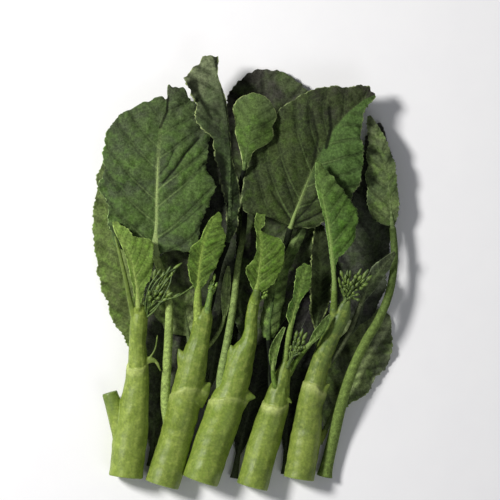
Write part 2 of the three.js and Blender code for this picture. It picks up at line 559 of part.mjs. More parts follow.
function leafRows(leaf) {
  const rows = [];
  for (let i = 0; i <= leaf.rows; i += 1) {
    const even = i / leaf.rows;
    rows.push(0.55 * even + 0.45 * (1 - Math.cos(Math.PI * even)) / 2);
  }
  return rows;
}

function leafSolid(leaf, extra) {
  const run = makeRun(runPoints([...leaf.stalk, ...leaf.rib]));
  const start = run.marks[leaf.stalk.length];
  const rings = [];
  const stalkRows = Math.max(2, Math.round(run.total * start / 17));
  for (let i = 0; i < stalkRows; i += 1) {
    const t = start * i / stalkRows;
    const radius = leaf.radius[0] + (leaf.radius[1] - leaf.radius[0]) * (i / stalkRows) + extra;
    rings.push(stalkRing(run, t, radius, radius));
  }
  const rows = leafRows(leaf);
  rows.forEach((s, i) => {
    const t = start + (1 - start) * s;
    const rib = (leaf.radius[1] - RIB_TIP) * (1 - s) ** 0.8 + RIB_TIP + extra;
    const round = stalkRing(run, t, rib, rib);
    const tooth = (i % 2 === 0 ? -TOOTH : TOOTH) * (i > 1 && i < leaf.rows - 1 ? 1 : 0);
    const blend = smooth(0, 0.09, s);
    const upper = [];
    const lower = [];
    for (const v of ACROSS) {
      const middle = bladePoint(leaf, run, start, s, v, tooth);
      const step = 0.01;
      const ahead = bladePoint(leaf, run, start, Math.min(s + step, 1), v, 0);
      const behind = bladePoint(leaf, run, start, Math.max(s - step, 0), v, 0);
      const left = bladePoint(leaf, run, start, s, Math.max(v - 0.05, -1), 0);
      const right = bladePoint(leaf, run, start, s, Math.min(v + 0.05, 1), 0);
      const normal = right.sub(left).cross(ahead.sub(behind)).normalize();
      const thick = BLADE / 2 + extra;
      const onRib = v === 0 ? 1 : 0;
      upper.push(middle.clone().addScaledVector(normal, thick + onRib * rib * RIB_RISE));
      lower.push(middle.clone().addScaledVector(normal, -thick - onRib * rib * RIB_KEEL));
    }
    const flat = [...upper, ...lower.reverse()];
    rings.push(round.map((point, k) => point.lerp(flat[k], blend)));
  });
  return toSolid(skinRings(rings, true));
}

// A ring with as many points as a blade section has.
function stalkRing(run, t, wide, high) {
  const place = runPlace(run, t);
  const heading = runHeading(run, t);
  const side = sideOf(heading);
  const up = side.clone().cross(heading);
  const count = ACROSS.length * 2;
  const ring = [];
  for (let k = 0; k < count; k += 1) {
    const angle = Math.PI - (k + 0.5) / count * 2 * Math.PI;
    ring.push(place.clone().addScaledVector(side, wide * Math.cos(angle))
      .addScaledVector(up, high * Math.sin(angle)));
  }
  return ring;
}

function seeded(seed) {
  let state = seed;
  return () => {
    state = (state * 16807) % 2147483647;
    return state / 2147483647;
  };
}

// Thin stalks fan out from the neck and each ends in a closed, pointed bud.
function spraySolid(spray) {
  const random = seeded(spray.seed * 7919);
  const stalk = [[...spray.root, spray.radius], [...spray.neck, spray.radius * 0.8]];
  let solid = tubeSolid(stalk, 6, 3, 0, 0);
  const thin = 0.55;
  spray.tips.forEach((tip, i) => {
    const from = spray.neck.map((value, k) => value + (spray.root[k] - value) * 0.5 * (i % 3) / 2);
    const base = from.map((value, k) => value + (tip[k] - value) * 0.7 + (random() - 0.5) * 0.8);
    const fat = 1 + random() * 0.5;
    const belly = base.map((value, k) => value + (tip[k] - value) * 0.5);
    const list = [[...from, thin], [...base, thin + 0.15], [...belly, fat], [...tip, 0.35]];
    solid = solid.add(tubeSolid(list, BUD_SIDES, 0, 0, 0));
  });
  return solid;
}

function toGeometry(solid) {
  const mesh = solid.getMesh();
  const geometry = new THREE.BufferGeometry();
  const points = new Float32Array(mesh.vertProperties);
  geometry.setAttribute('position', new THREE.BufferAttribute(points, 3));
  geometry.setIndex(new THREE.BufferAttribute(new Uint32Array(mesh.triVerts), 1));
  return geometry;
}

const bunch = new THREE.Group();
bunch.name = 'chinese_broccoli_bunch';

function addPart(name, solid, colour, roughness) {
  const material = new THREE.MeshStandardMaterial({ color: colour, roughness, metalness: 0 });
  const geometry = toGeometry(solid);
  geometry.translate(SHIFT[0], SHIFT[1], SHIFT[2]);
  geometry.computeVertexNormals();
  const mesh = new THREE.Mesh(geometry, material);
  mesh.name = name;
  bunch.add(mesh);
}

const swollen = {};
for (const [name, stem] of Object.entries(STEMS)) {
  swollen[name] = stemSolid(stem, GAP);
  addPart(name, stemSolid(stem, 0).subtract(ground), COLOURS.stem, 0.4);
}

for (const [name, leaf] of Object.entries(LEAVES)) {
  let solid = leafSolid(leaf, 0).subtract(ground);
  if (leaf.grows_from) {
    solid = solid.subtract(swollen[leaf.grows_from]);
  }
  addPart(name, solid, COLOURS[leaf.colour], leaf.colour === 'young_leaf' ? 0.45 : 0.5);
}

for (const [name, spray] of Object.entries(SPRAYS)) {
  const solid = spraySolid(spray).subtract(swollen[spray.grows_from]);
  addPart(name, solid, COLOURS.bud, 0.5);
}

export default bunch;
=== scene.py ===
import math

import bpy
import numpy as np
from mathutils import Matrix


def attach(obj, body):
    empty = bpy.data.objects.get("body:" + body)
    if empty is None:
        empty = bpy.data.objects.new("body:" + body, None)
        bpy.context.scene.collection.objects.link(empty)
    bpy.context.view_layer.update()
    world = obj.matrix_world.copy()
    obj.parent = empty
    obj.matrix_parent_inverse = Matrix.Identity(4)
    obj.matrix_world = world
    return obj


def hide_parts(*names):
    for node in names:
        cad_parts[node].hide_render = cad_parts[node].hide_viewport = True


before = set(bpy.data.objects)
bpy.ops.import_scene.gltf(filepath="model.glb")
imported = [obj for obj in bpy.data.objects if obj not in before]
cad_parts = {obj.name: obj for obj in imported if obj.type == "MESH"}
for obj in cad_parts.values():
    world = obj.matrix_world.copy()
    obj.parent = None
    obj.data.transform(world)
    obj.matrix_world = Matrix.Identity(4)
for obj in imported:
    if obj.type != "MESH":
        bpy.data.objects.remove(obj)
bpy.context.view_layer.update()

# The drawing grid of the solids: x right, y down from the leaf tips, heights in millimetres.
GRID = 0.65
GRID_X = 247
GRID_Y = 274
SHIFT = np.array([1.035, 0.162, 0.0])
MM = 0.001
PHOTO_MIDDLE = (250, 250)

# Leaves, in millimetres: thickness of a blade, radius of a rib at its tip, spacing of the mesh on leaves in
# sight and in the shade, and the width from which a leaf has margins of the full size. The side veins start
# on that part of the rib and bend forward by that much.
BLADE = 0.56
RIB_TIP = 0.35
TOP_GAP = 0.72
HIDDEN_GAP = 1.0
FULL_SIZE = 40
VEIN_PART = 0.86
VEIN_BEND = 0.006
ROW_LIMITS = (24, 150)
COLUMN_LIMITS = (9, 48)
RIB_SIDES = 14
LEAF_SEED = 400

# Stems: sides of their tubes, size of the remesh, the length below which a side growth is a flat flap, where
# on its path a stem narrows to its neck, and how far the foot of a leaf stalk is melted into the stem.
STEM_SIDES = 64
SPUR_SIDES = 24
FOOT_SIDES = 20
REMESH = 0.5
SOFTEN_ROUNDS = 5
FLAP_REACH = 18.0
NECK = (0.86, 0.97)
FOOT_REACH = 7.0
STEM_SEED = 900

# A distance past all that counts, and how many points are compared at a time.
FAR = 99.0
BLOCK = 4000

# Colours and gloss that all leaves, stems or sprays share. The colours of buds are those of a bud's foot,
# of its head and the strands, of pale specks and of deep blotches.
FRESH_TINT = (1.03, 1.15, 0.85)
STEM_GREEN = (92, 114, 36)
# the pale strip below a leaf scar: partly the stem's paler skin, partly painted highlight
SCAR_PALE_AND_HIGHLIGHT = (184, 196, 118)
SCAR_LINE = (84, 100, 40)
SHOOT_GREEN = (76, 98, 42)
PITH = (196, 206, 158)
PITH_RIM = (150, 172, 92)
PITH_SPECK = (170, 184, 126)
STEM_GLOSS = 0.4
BUD_COLOURS = [(91, 113, 44), (66, 88, 38), (128, 146, 70), (52, 70, 32)]

# Camera and floor, in metres, and the sensor in millimetres. The view has its full width at FOCUS_HEIGHT.
VIEW_WIDTH = 0.325
CAMERA_HEIGHT = 1.9
FOCUS_HEIGHT = 0.02
SENSOR = 36.0
FLOOR_HALF = 4
FLOOR_LEVEL = -0.0005
PAPER = ((0.94, 0.94, 0.96, 1), (0.90, 0.90, 0.93, 1))

# Lamps: place and width in metres, power and colour.
LAMPS = {
    "key": ((-0.85, 0.40, 0.95), 0.30, 20.0, (1.0, 0.985, 0.95)),
    "fill": ((0.5, -0.9, 1.3), 0.9, 3.0, (0.95, 0.97, 1.0)),
}
SKY_COLOUR = (0.95, 0.96, 1.0, 1)
SKY_LIGHT = 0.16

# Stems. A path and its spurs (side shoots, torn flaps and scar shoulders) hold points with their radii in
# millimetres. A scar is its place along the path, the side on which it is lowest and its arch, also in
# millimetres. Colours are those of the foot, the head and warm streaks. neck_thin is the part of its
# radius that the stem loses at the neck.
STEMS = {
    "stem_left": dict(
        colours=((126, 146, 58), (112, 132, 48), (142, 158, 72)), scar=(0.66, 1.9, 0.5), neck_thin=0.22,
        path=[[125, 478, 10.8, 11.2], [130, 437, 10.6, 11], [134.5, 400, 13, 9], [137.3, 372, 14.8, 6.9],
            [137.8, 358, 15.8, 6.1], [137.4, 342, 16.8, 5.6], [138.4, 328, 18, 5.8], [139.8, 316, 19, 6.1],
            [140.6, 309, 19.8, 4.8], [140.8, 304.5, 20.2, 2.8]],
        spurs=[
            [[127, 456, 10, 7], [117, 420, 11, 6], [109, 393, 11.6, 5]],
            [[141, 364, 16, 3.2], [148.5, 359, 17.5, 1.2], [155, 349, 18.5, 0.9], [157.5, 335, 19, 0.6]],
            [[146, 360.5, 17, 1.6], [155, 361, 18, 1], [160.5, 371, 17.5, 0.6]],
            [[136, 324, 18.5, 2.6], [131, 304, 22.5, 1.7], [126.5, 281, 25.6, 1.4], [121, 257, 27.6, 1.2],
                [115.5, 236, 28, 0.8]]]),
    "stem_wide": dict(
        colours=((120, 140, 54), (106, 128, 46), (138, 152, 70)), scar=(0.51, 2.6, 7.5), neck_thin=0.04,
        path=[[161.5, 486, 10.8, 11.2], [176, 437, 10.2, 10.5], [184.5, 402, 13.6, 10.8],
            [188.5, 385, 15.2, 9.8], [192.6, 368, 16.6, 9.2], [196, 353, 18, 7.9], [199, 342, 19.2, 6.5],
            [200.8, 331, 20.4, 6], [203, 318, 21.8, 6.4], [204.2, 311, 22.8, 4.8],
            [204.8, 306, 23.4, 2.8]],
        spurs=[
            [[194, 393, 15, 7.4], [204, 388, 16.2, 4.6], [211, 383.5, 17, 1.4]],
            [[189, 364, 18, 5.4], [182.5, 356, 19.8, 3], [178.5, 348.5, 20.6, 0.8]],
            [[192, 358, 19, 5], [190, 351, 22.4, 2], [188.8, 347, 23.4, 0.7]]]),
    "stem_middle": dict(
        colours=((118, 140, 52), (104, 128, 44), (136, 150, 68)), scar=(0.43, 2.6, 5.0), neck_thin=0.04,
        path=[[200, 482, 11.6, 12], [215.5, 437, 11.4, 12], [227, 404, 14.2, 11.4], [232.5, 389, 15, 9.8],
            [238, 369, 15.8, 9.3], [243.2, 353.5, 17.4, 7.9], [248, 343, 18.6, 5.7],
            [250.6, 332, 19.6, 4.5], [252.3, 314, 21, 3.8], [254.2, 300, 22.4, 3.2],
            [255.2, 292, 23.4, 2]],
        spurs=[
            [[232, 400, 14, 7], [246, 397, 15.5, 4.4], [256, 398, 16, 1.1]],
            [[237, 358, 18.5, 5.4], [232.5, 350, 20.5, 2.8], [230.5, 344.5, 21.4, 0.8]],
            [[243, 353, 19, 5], [240.5, 347, 22.5, 1.8], [240, 343, 23.2, 0.6]]]),
    "stem_slim": dict(
        colours=((118, 138, 52), (98, 120, 44), (134, 150, 66)), scar=(0.66, 1.9, 2.0), neck_thin=0.04,
        path=[[252, 488, 10, 10.4], [266, 437, 9.6, 10], [275, 408, 12, 8.8], [278.4, 393, 13.2, 7.2],
            [282, 380, 14.4, 5.4], [285, 368, 16, 3.8], [286.8, 359, 17.2, 2.2]],
        spurs=[
            [[279, 404, 14, 5], [286, 400, 16, 2.4], [292, 403, 16.4, 0.8]],
            [[280, 398, 15, 4], [283, 393, 18.4, 1.8], [285, 388.5, 19.4, 0.6]]]),
    "stem_right": dict(
        colours=((122, 140, 56), (80, 104, 42), (134, 148, 68)), scar=(0.51, 1.2, 6.0), neck_thin=0.04,
        path=[[299, 480, 9.6, 10], [306.5, 437, 9.2, 9.9], [309.4, 409, 12, 8.2], [312.4, 393, 13.8, 7.4],
            [316.4, 378, 14.8, 6.9], [320.6, 362, 16.2, 6.1], [327, 346, 18.2, 6], [333.6, 331, 20.4, 6],
            [339.6, 318.5, 22.2, 6.1], [343, 311, 23.2, 4.6], [344.8, 306.5, 24, 2.6]],
        spurs=[
            [[316, 392, 14, 6.2], [324.5, 388, 15.2, 3.2], [330.5, 385, 15.6, 1.2]],
            [[340, 316, 23, 4.2], [345.5, 305, 25.4, 3], [348.5, 298, 26.6, 1.9]]]),
}

# Leaves. A leaf runs along its stalk and rib, with the half widths of its left and right side, their
# slopes, its arch and its wave (height, count and phase) at even steps from foot to tip. The radii are
# those of the stalk's foot and the rib. back draws the lobes at the foot backward.
LEAVES = {
    "leaf_left_big": dict(
        grows_from="stem_wide", colour="old_leaf", radius=[3.3, 2.3],
        stalk=[[170, 436, 9], [165, 404, 12], [166.8, 365, 14.5], [168.3, 337, 16], [168.8, 305, 17.5],
            [164, 278, 19]],
        rib=[[155.5, 254, 21], [156.5, 220, 23], [157, 190, 24.5], [159, 150, 24.5], [163, 115, 22],
            [171, 85, 18.5]],
        left=[3, 38, 45, 49, 52, 54, 55, 55, 53, 47, 28, 9, 1],
            right=[3, 39, 44, 48, 55, 57, 51, 49, 51, 47, 39, 31, 12],
        slope_left=[0.3, 0.12, 0], slope_right=[0.3, 0.1, 0], arch=[-0.14, -0.16, -0.2],
        wave=[1.7, 4.5, 0.4], back=0.42),
    "leaf_folded_tall": dict(
        grows_from="stem_wide", colour="old_leaf", radius=[2.9, 1.8],
        stalk=[[204, 322, 19], [210.5, 302, 22], [214.5, 283, 21.5], [220, 262, 21.5]],
        rib=[[228, 240, 22.5], [230.5, 205, 26], [230, 165, 31], [227, 125, 34.5], [222, 95, 34.5],
            [212.5, 58, 28]],
        left=[2, 3, 5, 7, 10, 13, 15, 18, 30, 28, 30, 31, 6],
            right=[2, 8, 9, 8.6, 6.6, 3, 2, 2, 2, 2.5, 1.2, 1.6, 6],
        slope_left=[-0.6, -0.1, -0.12], slope_right=[0.2, -1.2, -0.6], arch=[0, -0.04, 0.1],
        wave=[1.3, 5, 1.2]),
    "leaf_back_dark": dict(
        grows_from="stem_middle", colour="shade_leaf", radius=[2.6, 1.8],
        stalk=[[245, 376, 9.6], [247.5, 362, 8.2]],
        rib=[[250, 346, 7], [255, 305, 5.6], [259, 255, 4], [263, 200, 2.6], [266, 130, 1.2],
            [265, 68, 1.8]],
        left=[2, 17, 23, 25, 25, 27, 30, 34, 38, 40, 40, 36, 7],
            right=[2, 27, 42, 52, 57, 58, 57, 54, 51, 49, 48, 43, 8],
        slope_left=[0.14, 0.14, 0.1], slope_right=[0.0, 0.08, 0.1], arch=[0, 0, 0.02],
        wave=[1.1, 4.5, 2.1]),
    "leaf_round_light": dict(
        grows_from="stem_middle", colour="old_leaf", radius=[2.8, 1.4],
        stalk=[[221, 398, 15], [220.5, 378, 18], [226.5, 345, 18], [232.5, 310, 17], [238, 265, 15],
            [243.5, 232, 13], [244.6, 207, 13], [240.6, 186, 18.6]],
        rib=[[244.5, 168, 27], [248, 140, 31.5], [253.5, 115, 32], [257.5, 94.5, 29]],
        left=[2, 4, 7, 12, 15.5, 18.5, 21, 18, 4], right=[2, 5, 9, 20, 24, 21, 23, 18, 2],
        slope_left=[0, -0.1, -0.1], slope_right=[0, -0.1, -0.1], arch=[0, -0.2, -0.1], wave=[1, 3, 0.3]),
    "leaf_right_big": dict(
        grows_from="stem_slim", colour="old_leaf", radius=[2.6, 2],
        stalk=[[275, 404, 8], [272, 385, 8.4], [272, 350, 10], [271.5, 320, 10.6], [272.5, 290, 10.2],
            [279, 263, 9.6], [285.5, 246, 9.8]],
        rib=[[291, 226, 19], [302, 195, 21], [317, 160, 22], [339, 122, 21.5], [362, 101, 20],
            [375, 95, 19]],
        left=[3, 53, 60, 64, 60, 54, 41, 22.5, 1.5], right=[3, 28, 44, 48, 45, 39, 25, 11, 2],
        slope_left=[0.22, 0.18, 0.2], slope_right=[0.2, 0.28, 0.3], arch=[-0.12, -0.16, -0.1],
        wave=[1.5, 5.5, 0.9], back=0.6),
    "leaf_right_edge": dict(
        grows_from="", colour="old_leaf", radius=[4.1, 2.2],
        stalk=[[325, 478, 3.9], [334.5, 437, 6], [343, 401, 11], [353, 370, 14], [366.5, 341, 15],
            [379, 320, 15], [390, 292, 14], [395, 258, 12.5]],
        rib=[[393, 226, 12.5], [389.5, 190, 15], [381.5, 148, 16.5], [369, 115, 15]],
        left=[2, 20, 23, 22, 20, 17, 12, 7, 1.5], right=[2, 6, 8, 9, 9, 8, 7, 5, 1.5],
        slope_left=[0.2, 0.15, 0.2], slope_right=[0, -0.2, -0.2], arch=[0, -0.06, 0], wave=[1, 3.5, 2.4],
        back=0.25),
    "leaf_half_view": dict(
        grows_from="stem_right", colour="old_leaf", radius=[2.6, 1.7],
        stalk=[[334, 322, 23], [333.5, 305, 27]],
        rib=[[334, 288, 30], [332, 262, 33], [328, 225, 35], [323, 200, 35.5], [317, 163, 33]],
        left=[1.5, 2, 2, 2.4, 3, 3.4, 4, 4.5, 1.5], right=[1.5, 2.5, 9, 24, 29, 29, 20, 11, 1.5],
        slope_left=[-0.6, -1.1, -0.6], slope_right=[0.1, 0.1, 0], arch=[0, -0.22, -0.2],
        wave=[1.4, 3.5, 0.2]),
    "young_leaf_wide": dict(
        grows_from="stem_wide", colour="young_leaf", radius=[3.4, 2.4],
        stalk=[[200, 322, 22], [198, 310, 25]],
        rib=[[198, 298, 28], [199, 275, 30.5], [201, 257, 32], [205, 238, 33], [212, 222, 33],
            [220, 213, 32]],
        left=[1.5, 4, 9, 12, 12, 5, 3, 3, 1.2], right=[1.5, 3.5, 10, 16, 19, 21, 19, 12, 2],
        slope_left=[0.2, 0.25, 0.2], slope_right=[0.2, 0.2, 0.2], arch=[0, -0.1, -0.1], wave=[0.9, 4, 1.1]),
    "young_leaf_middle": dict(
        grows_from="stem_middle", colour="young_leaf", radius=[2.6, 2],
        stalk=[[254.6, 303, 22.6]],
        rib=[[256.4, 292, 25.4], [259, 270, 28.5], [261, 250, 30.5], [260, 230, 31], [260.5, 214, 30]],
        left=[1.2, 8, 12.5, 8, 5, 4.5, 3.5, 6, 4], right=[1.2, 15, 20, 22, 23.5, 22, 6, 4.5, 5],
        slope_left=[0.3, 0.3, 0.2], slope_right=[0.2, 0.15, 0.1], arch=[0, -0.1, 0], wave=[1, 4, 2.2]),
    "young_leaf_slim": dict(
        grows_from="stem_slim", colour="young_leaf", radius=[2.4, 1.8],
        stalk=[[284, 373, 14.4], [286.6, 352, 19]],
        rib=[[289.5, 332, 23.5], [292.5, 318, 26], [296.5, 302, 28.5], [301.5, 282, 30.5],
            [307.5, 264, 31]],
        left=[1.2, 2, 7, 7.5, 5, 6, 7, 9, 3], right=[1.2, 2.5, 2.5, 3, 4, 7.5, 8.5, 6.5, 2],
        slope_left=[0.2, 0.1, 0], slope_right=[0.2, 0.2, 0.1], arch=[0, 0, -0.1], wave=[0.7, 3, 0.4]),
    "leaf_rolled_long": dict(
        grows_from="stem_slim", colour="shade_leaf", radius=[2, 1.5],
        stalk=[[277, 398, 13], [272.5, 380, 14], [270, 356, 15.5]],
        rib=[[268.5, 338, 17.5], [271.5, 310, 18.5], [278, 280, 18.5], [289, 254, 16.5], [303, 228, 13.5]],
        left=[5, 9, 8.5, 7.5, 6.5, 5.5, 4, 4, 3], right=[5, 10, 10.5, 10.5, 9.5, 7.5, 6.5, 6.5, 4],
        slope_left=[-0.2, -0.3, -0.3], slope_right=[-0.2, -0.3, -0.3], arch=[-0.2, -0.25, -0.3],
        wave=[0.4, 3, 0.8]),
    "leaf_left_under": dict(
        grows_from="stem_left", colour="shade_leaf", radius=[2.5, 2],
        stalk=[[139, 380, 7], [138, 366, 5]],
        rib=[[136.5, 352, 4.4], [131, 318, 6], [125.4, 275, 6.4], [119.5, 242, 5], [113, 195, 2],
            [109, 150, 0.8]],
        left=[3, 15, 23, 26, 27, 25, 21, 15, 2], right=[3, 9, 15, 20, 25, 28, 26, 18, 2],
        slope_left=[0.1, 0.06, 0.06], slope_right=[0.05, 0.06, 0.08], arch=[0, 0, 0], wave=[0.9, 4, 1.6],
        back=0.1),
    "leaf_right_under": dict(
        grows_from="stem_right", colour="shade_leaf", radius=[2.3, 1.7],
        stalk=[[319, 444, 4.6], [323, 437, 2.8]],
        rib=[[327, 430, 1.8], [350, 372, 2.2], [368, 340, 1.6], [387, 312, 1]],
        left=[1.5, 13, 20, 24, 28, 31, 30, 20, 2], right=[1.5, 4, 16, 24, 29, 31, 28, 19, 2],
        slope_left=[0.03, 0.05, 0.1], slope_right=[0.05, 0.05, 0.06], arch=[0, 0, 0], wave=[0.8, 3.5, 0.1],
        back=0.1),
    "leaf_right_shade": dict(
        grows_from="stem_right", colour="shade_leaf", radius=[2.2, 1.6],
        stalk=[[327, 352, 13], [336, 346, 10.5], [346, 337, 9]],
        rib=[[358, 324, 8.6], [371, 268, 7.6], [380, 215, 5], [383, 165, 3], [380, 122, 2]],
        left=[2, 36, 42, 42, 36, 28, 24, 17, 2], right=[2, 16, 18, 16, 14, 12, 11, 8, 2],
        slope_left=[0.1, 0.1, 0.1], slope_right=[0.1, 0.06, 0], arch=[0, -0.05, 0], wave=[1, 3.5, 1.4]),
    "leaf_right_folded": dict(
        grows_from="stem_right", colour="shade_leaf", radius=[1.9, 1.5],
        stalk=[[325, 370, 15.4], [333.5, 358, 17], [342, 346, 17.6], [350.5, 330, 18.6], [357, 313, 19.6]],
        rib=[[361, 303, 20.4], [369, 286, 21.6], [382, 268, 21.4], [395, 253, 19]],
        left=[1.5, 4, 6.5, 7.5, 7.5, 7, 6, 4.5, 1.2], right=[1.5, 4, 6, 7, 7, 6.5, 6, 4, 1.2],
        slope_left=[0.3, 0.6, 0.5], slope_right=[-0.3, -0.6, -0.6], arch=[0, 0, 0], wave=[0.6, 3, 0.5]),
    "leaf_gap_left": dict(
        grows_from="stem_wide", colour="shade_leaf", radius=[1.9, 1.5],
        stalk=[[190, 372, 10.5], [190, 354, 8.6]],
        rib=[[188, 336, 7.6], [185, 310, 8], [182.5, 280, 8.4], [182, 245, 8.4]],
        left=[2, 22, 30, 34, 36, 34, 30, 23, 2], right=[2, 8, 12, 14, 15, 15, 13, 10, 2],
        slope_left=[0.1, 0.15, 0.1], slope_right=[0, 0.05, 0.1], arch=[0, -0.1, 0], wave=[0.8, 3, 2.6],
        back=0.2),
    "young_leaf_left": dict(
        grows_from="stem_left", colour="young_leaf", radius=[2.5, 1.9],
        stalk=[[139.4, 321, 18.6]],
        rib=[[138.6, 308, 22.5], [137, 288, 26], [134, 270, 28.6], [129, 254, 30.4], [122, 240, 31],
            [114, 222, 30]],
        left=[1.5, 3, 4, 4.5, 4, 3, 2.5, 2.5, 1.2], right=[1.5, 5, 11, 18, 22, 26, 14, 9, 1.5],
        slope_left=[0.2, 0.3, 0.2], slope_right=[0.1, 0.16, 0.1], arch=[0, -0.12, -0.1],
        wave=[0.9, 3.5, 0.7]),
    "leaf_small_shade": dict(
        grows_from="stem_wide", colour="shade_leaf", radius=[1.4, 1.1],
        stalk=[[204, 350, 15], [213, 341, 15.4], [220, 330, 15]],
        rib=[[224, 318, 15], [225.6, 304, 15], [226.6, 286, 15], [228.5, 266, 15]],
        left=[1, 3, 4.5, 5, 5, 4.6, 4, 2.6, 1], right=[1, 2.6, 3.6, 4, 4, 4, 3.4, 2.4, 1],
        slope_left=[0.3, 0.3, 0.3], slope_right=[0.2, 0.2, 0.2], arch=[0, 0, 0], wave=[0.5, 2.5, 0.2]),
    "leaf_ruffled_shade": dict(
        grows_from="stem_right", colour="shade_leaf", radius=[1.7, 1.3],
        stalk=[[323, 356, 15], [317.5, 344, 15.4]],
        rib=[[317, 330, 15.4], [319.5, 298, 15.8], [320, 262, 15], [319, 222, 12]],
        left=[1.5, 6, 8, 9, 9, 9, 8, 6, 1.5], right=[1.5, 6, 9, 12, 13, 13, 11, 8, 1.5],
        slope_left=[0.3, 0.3, 0.2], slope_right=[0, 0.1, 0.2], arch=[0, 0, -0.1], wave=[1.4, 4.5, 1.9]),
    "leaf_spear": dict(
        grows_from="stem_slim", colour="young_leaf", radius=[2.1, 1.6],
        stalk=[[288.4, 374, 14], [296, 361.5, 17.6], [303.6, 351, 22]],
        rib=[[308, 345.5, 25.4], [315, 337.5, 28], [322, 328, 30.4], [329.5, 314.5, 31.6]],
        left=[1.2, 2.6, 4, 5, 5.4, 5, 4.4, 3, 1], right=[1.2, 2, 2.6, 3.4, 4, 4, 3.4, 2.4, 1],
        slope_left=[0.2, 0.1, 0], slope_right=[0.2, 0.1, 0.2], arch=[0, -0.1, 0], wave=[0.4, 2, 0.2]),
    "leaf_bract": dict(
        grows_from="stem_slim", colour="young_leaf", radius=[1.9, 1.4],
        stalk=[[277.5, 394, 16], [274, 380, 19.6]],
        rib=[[273, 368, 21.4], [274, 354, 23], [278, 341, 24], [284.5, 327, 24.4]],
        left=[1.8, 3.6, 4.8, 5.2, 5, 4.4, 3.6, 2.6, 1.2], right=[1.8, 3, 3.6, 3.8, 3.6, 3, 2.4, 1.8, 1],
        slope_left=[0.2, 0.4, 0.3], slope_right=[0.2, 0.3, 0.3], arch=[0, 0, 0], wave=[0.3, 2, 0.2]),
    "leaf_floor_left": dict(
        grows_from="", colour="shade_leaf", radius=[2.2, 1.6],
        stalk=[[149.5, 468, 2.6], [150.5, 460, 2.6]],
        rib=[[151.5, 450, 2.6], [154, 405, 2.4], [157, 350, 2], [159, 276, 2]],
        left=[2, 7, 8, 10, 13, 16, 16, 13, 2], right=[2, 9, 11, 19, 28, 30, 30, 24, 2],
        slope_left=[0.2, 0.1, 0.1], slope_right=[0.2, 0.1, 0.1], arch=[0, 0, 0], wave=[0.7, 3, 0.7]),
    "leaf_floor_middle": dict(
        grows_from="", colour="shade_leaf", radius=[2.2, 1.6],
        stalk=[[234, 480, 3], [236, 468, 3]],
        rib=[[238, 456, 2.8], [249, 412, 2.2], [261, 362, 1.6], [272, 268, 1.6]],
        left=[2, 9, 11, 20, 30, 33, 30, 20, 2], right=[2, 9, 13, 30, 42, 46, 47, 42, 2],
        slope_left=[0.1, 0.05, 0.1], slope_right=[0.05, 0.03, 0.05], arch=[0, 0, 0], wave=[0.7, 3, 1.7]),
    "leaf_floor_right": dict(
        grows_from="", colour="shade_leaf", radius=[1.8, 1.4],
        stalk=[[284.5, 476, 2.2], [285.5, 464, 2.2]],
        rib=[[286, 452, 2.4], [290, 405, 4.2], [301, 362, 5.2], [318, 296, 5.2]],
        left=[2, 6, 6, 8, 10, 12, 9, 5, 2], right=[2, 7, 7, 9, 15, 22, 24, 18, 2],
        slope_left=[0.1, 0.02, 0.05], slope_right=[0.05, 0.02, 0.05], arch=[0, 0, 0], wave=[0.6, 3, 1.2]),
    "leaf_middle_under": dict(
        grows_from="stem_wide", colour="shade_leaf", radius=[2, 1.5],
        stalk=[[202, 404, 8.4], [205, 396, 7.4]],
        rib=[[208, 388, 7], [212, 368, 7.6], [217, 335, 8.6], [220, 285, 10.6], [220, 215, 11.2],
            [213, 130, 11.4]],
        left=[2, 9, 14, 22, 23, 22, 20, 14, 2], right=[2, 9, 13, 15, 15, 15, 14, 9, 2],
        slope_left=[0, 0.05, 0.05], slope_right=[0, 0.03, 0], arch=[0, 0, 0], wave=[0.9, 3.5, 0.9]),
}
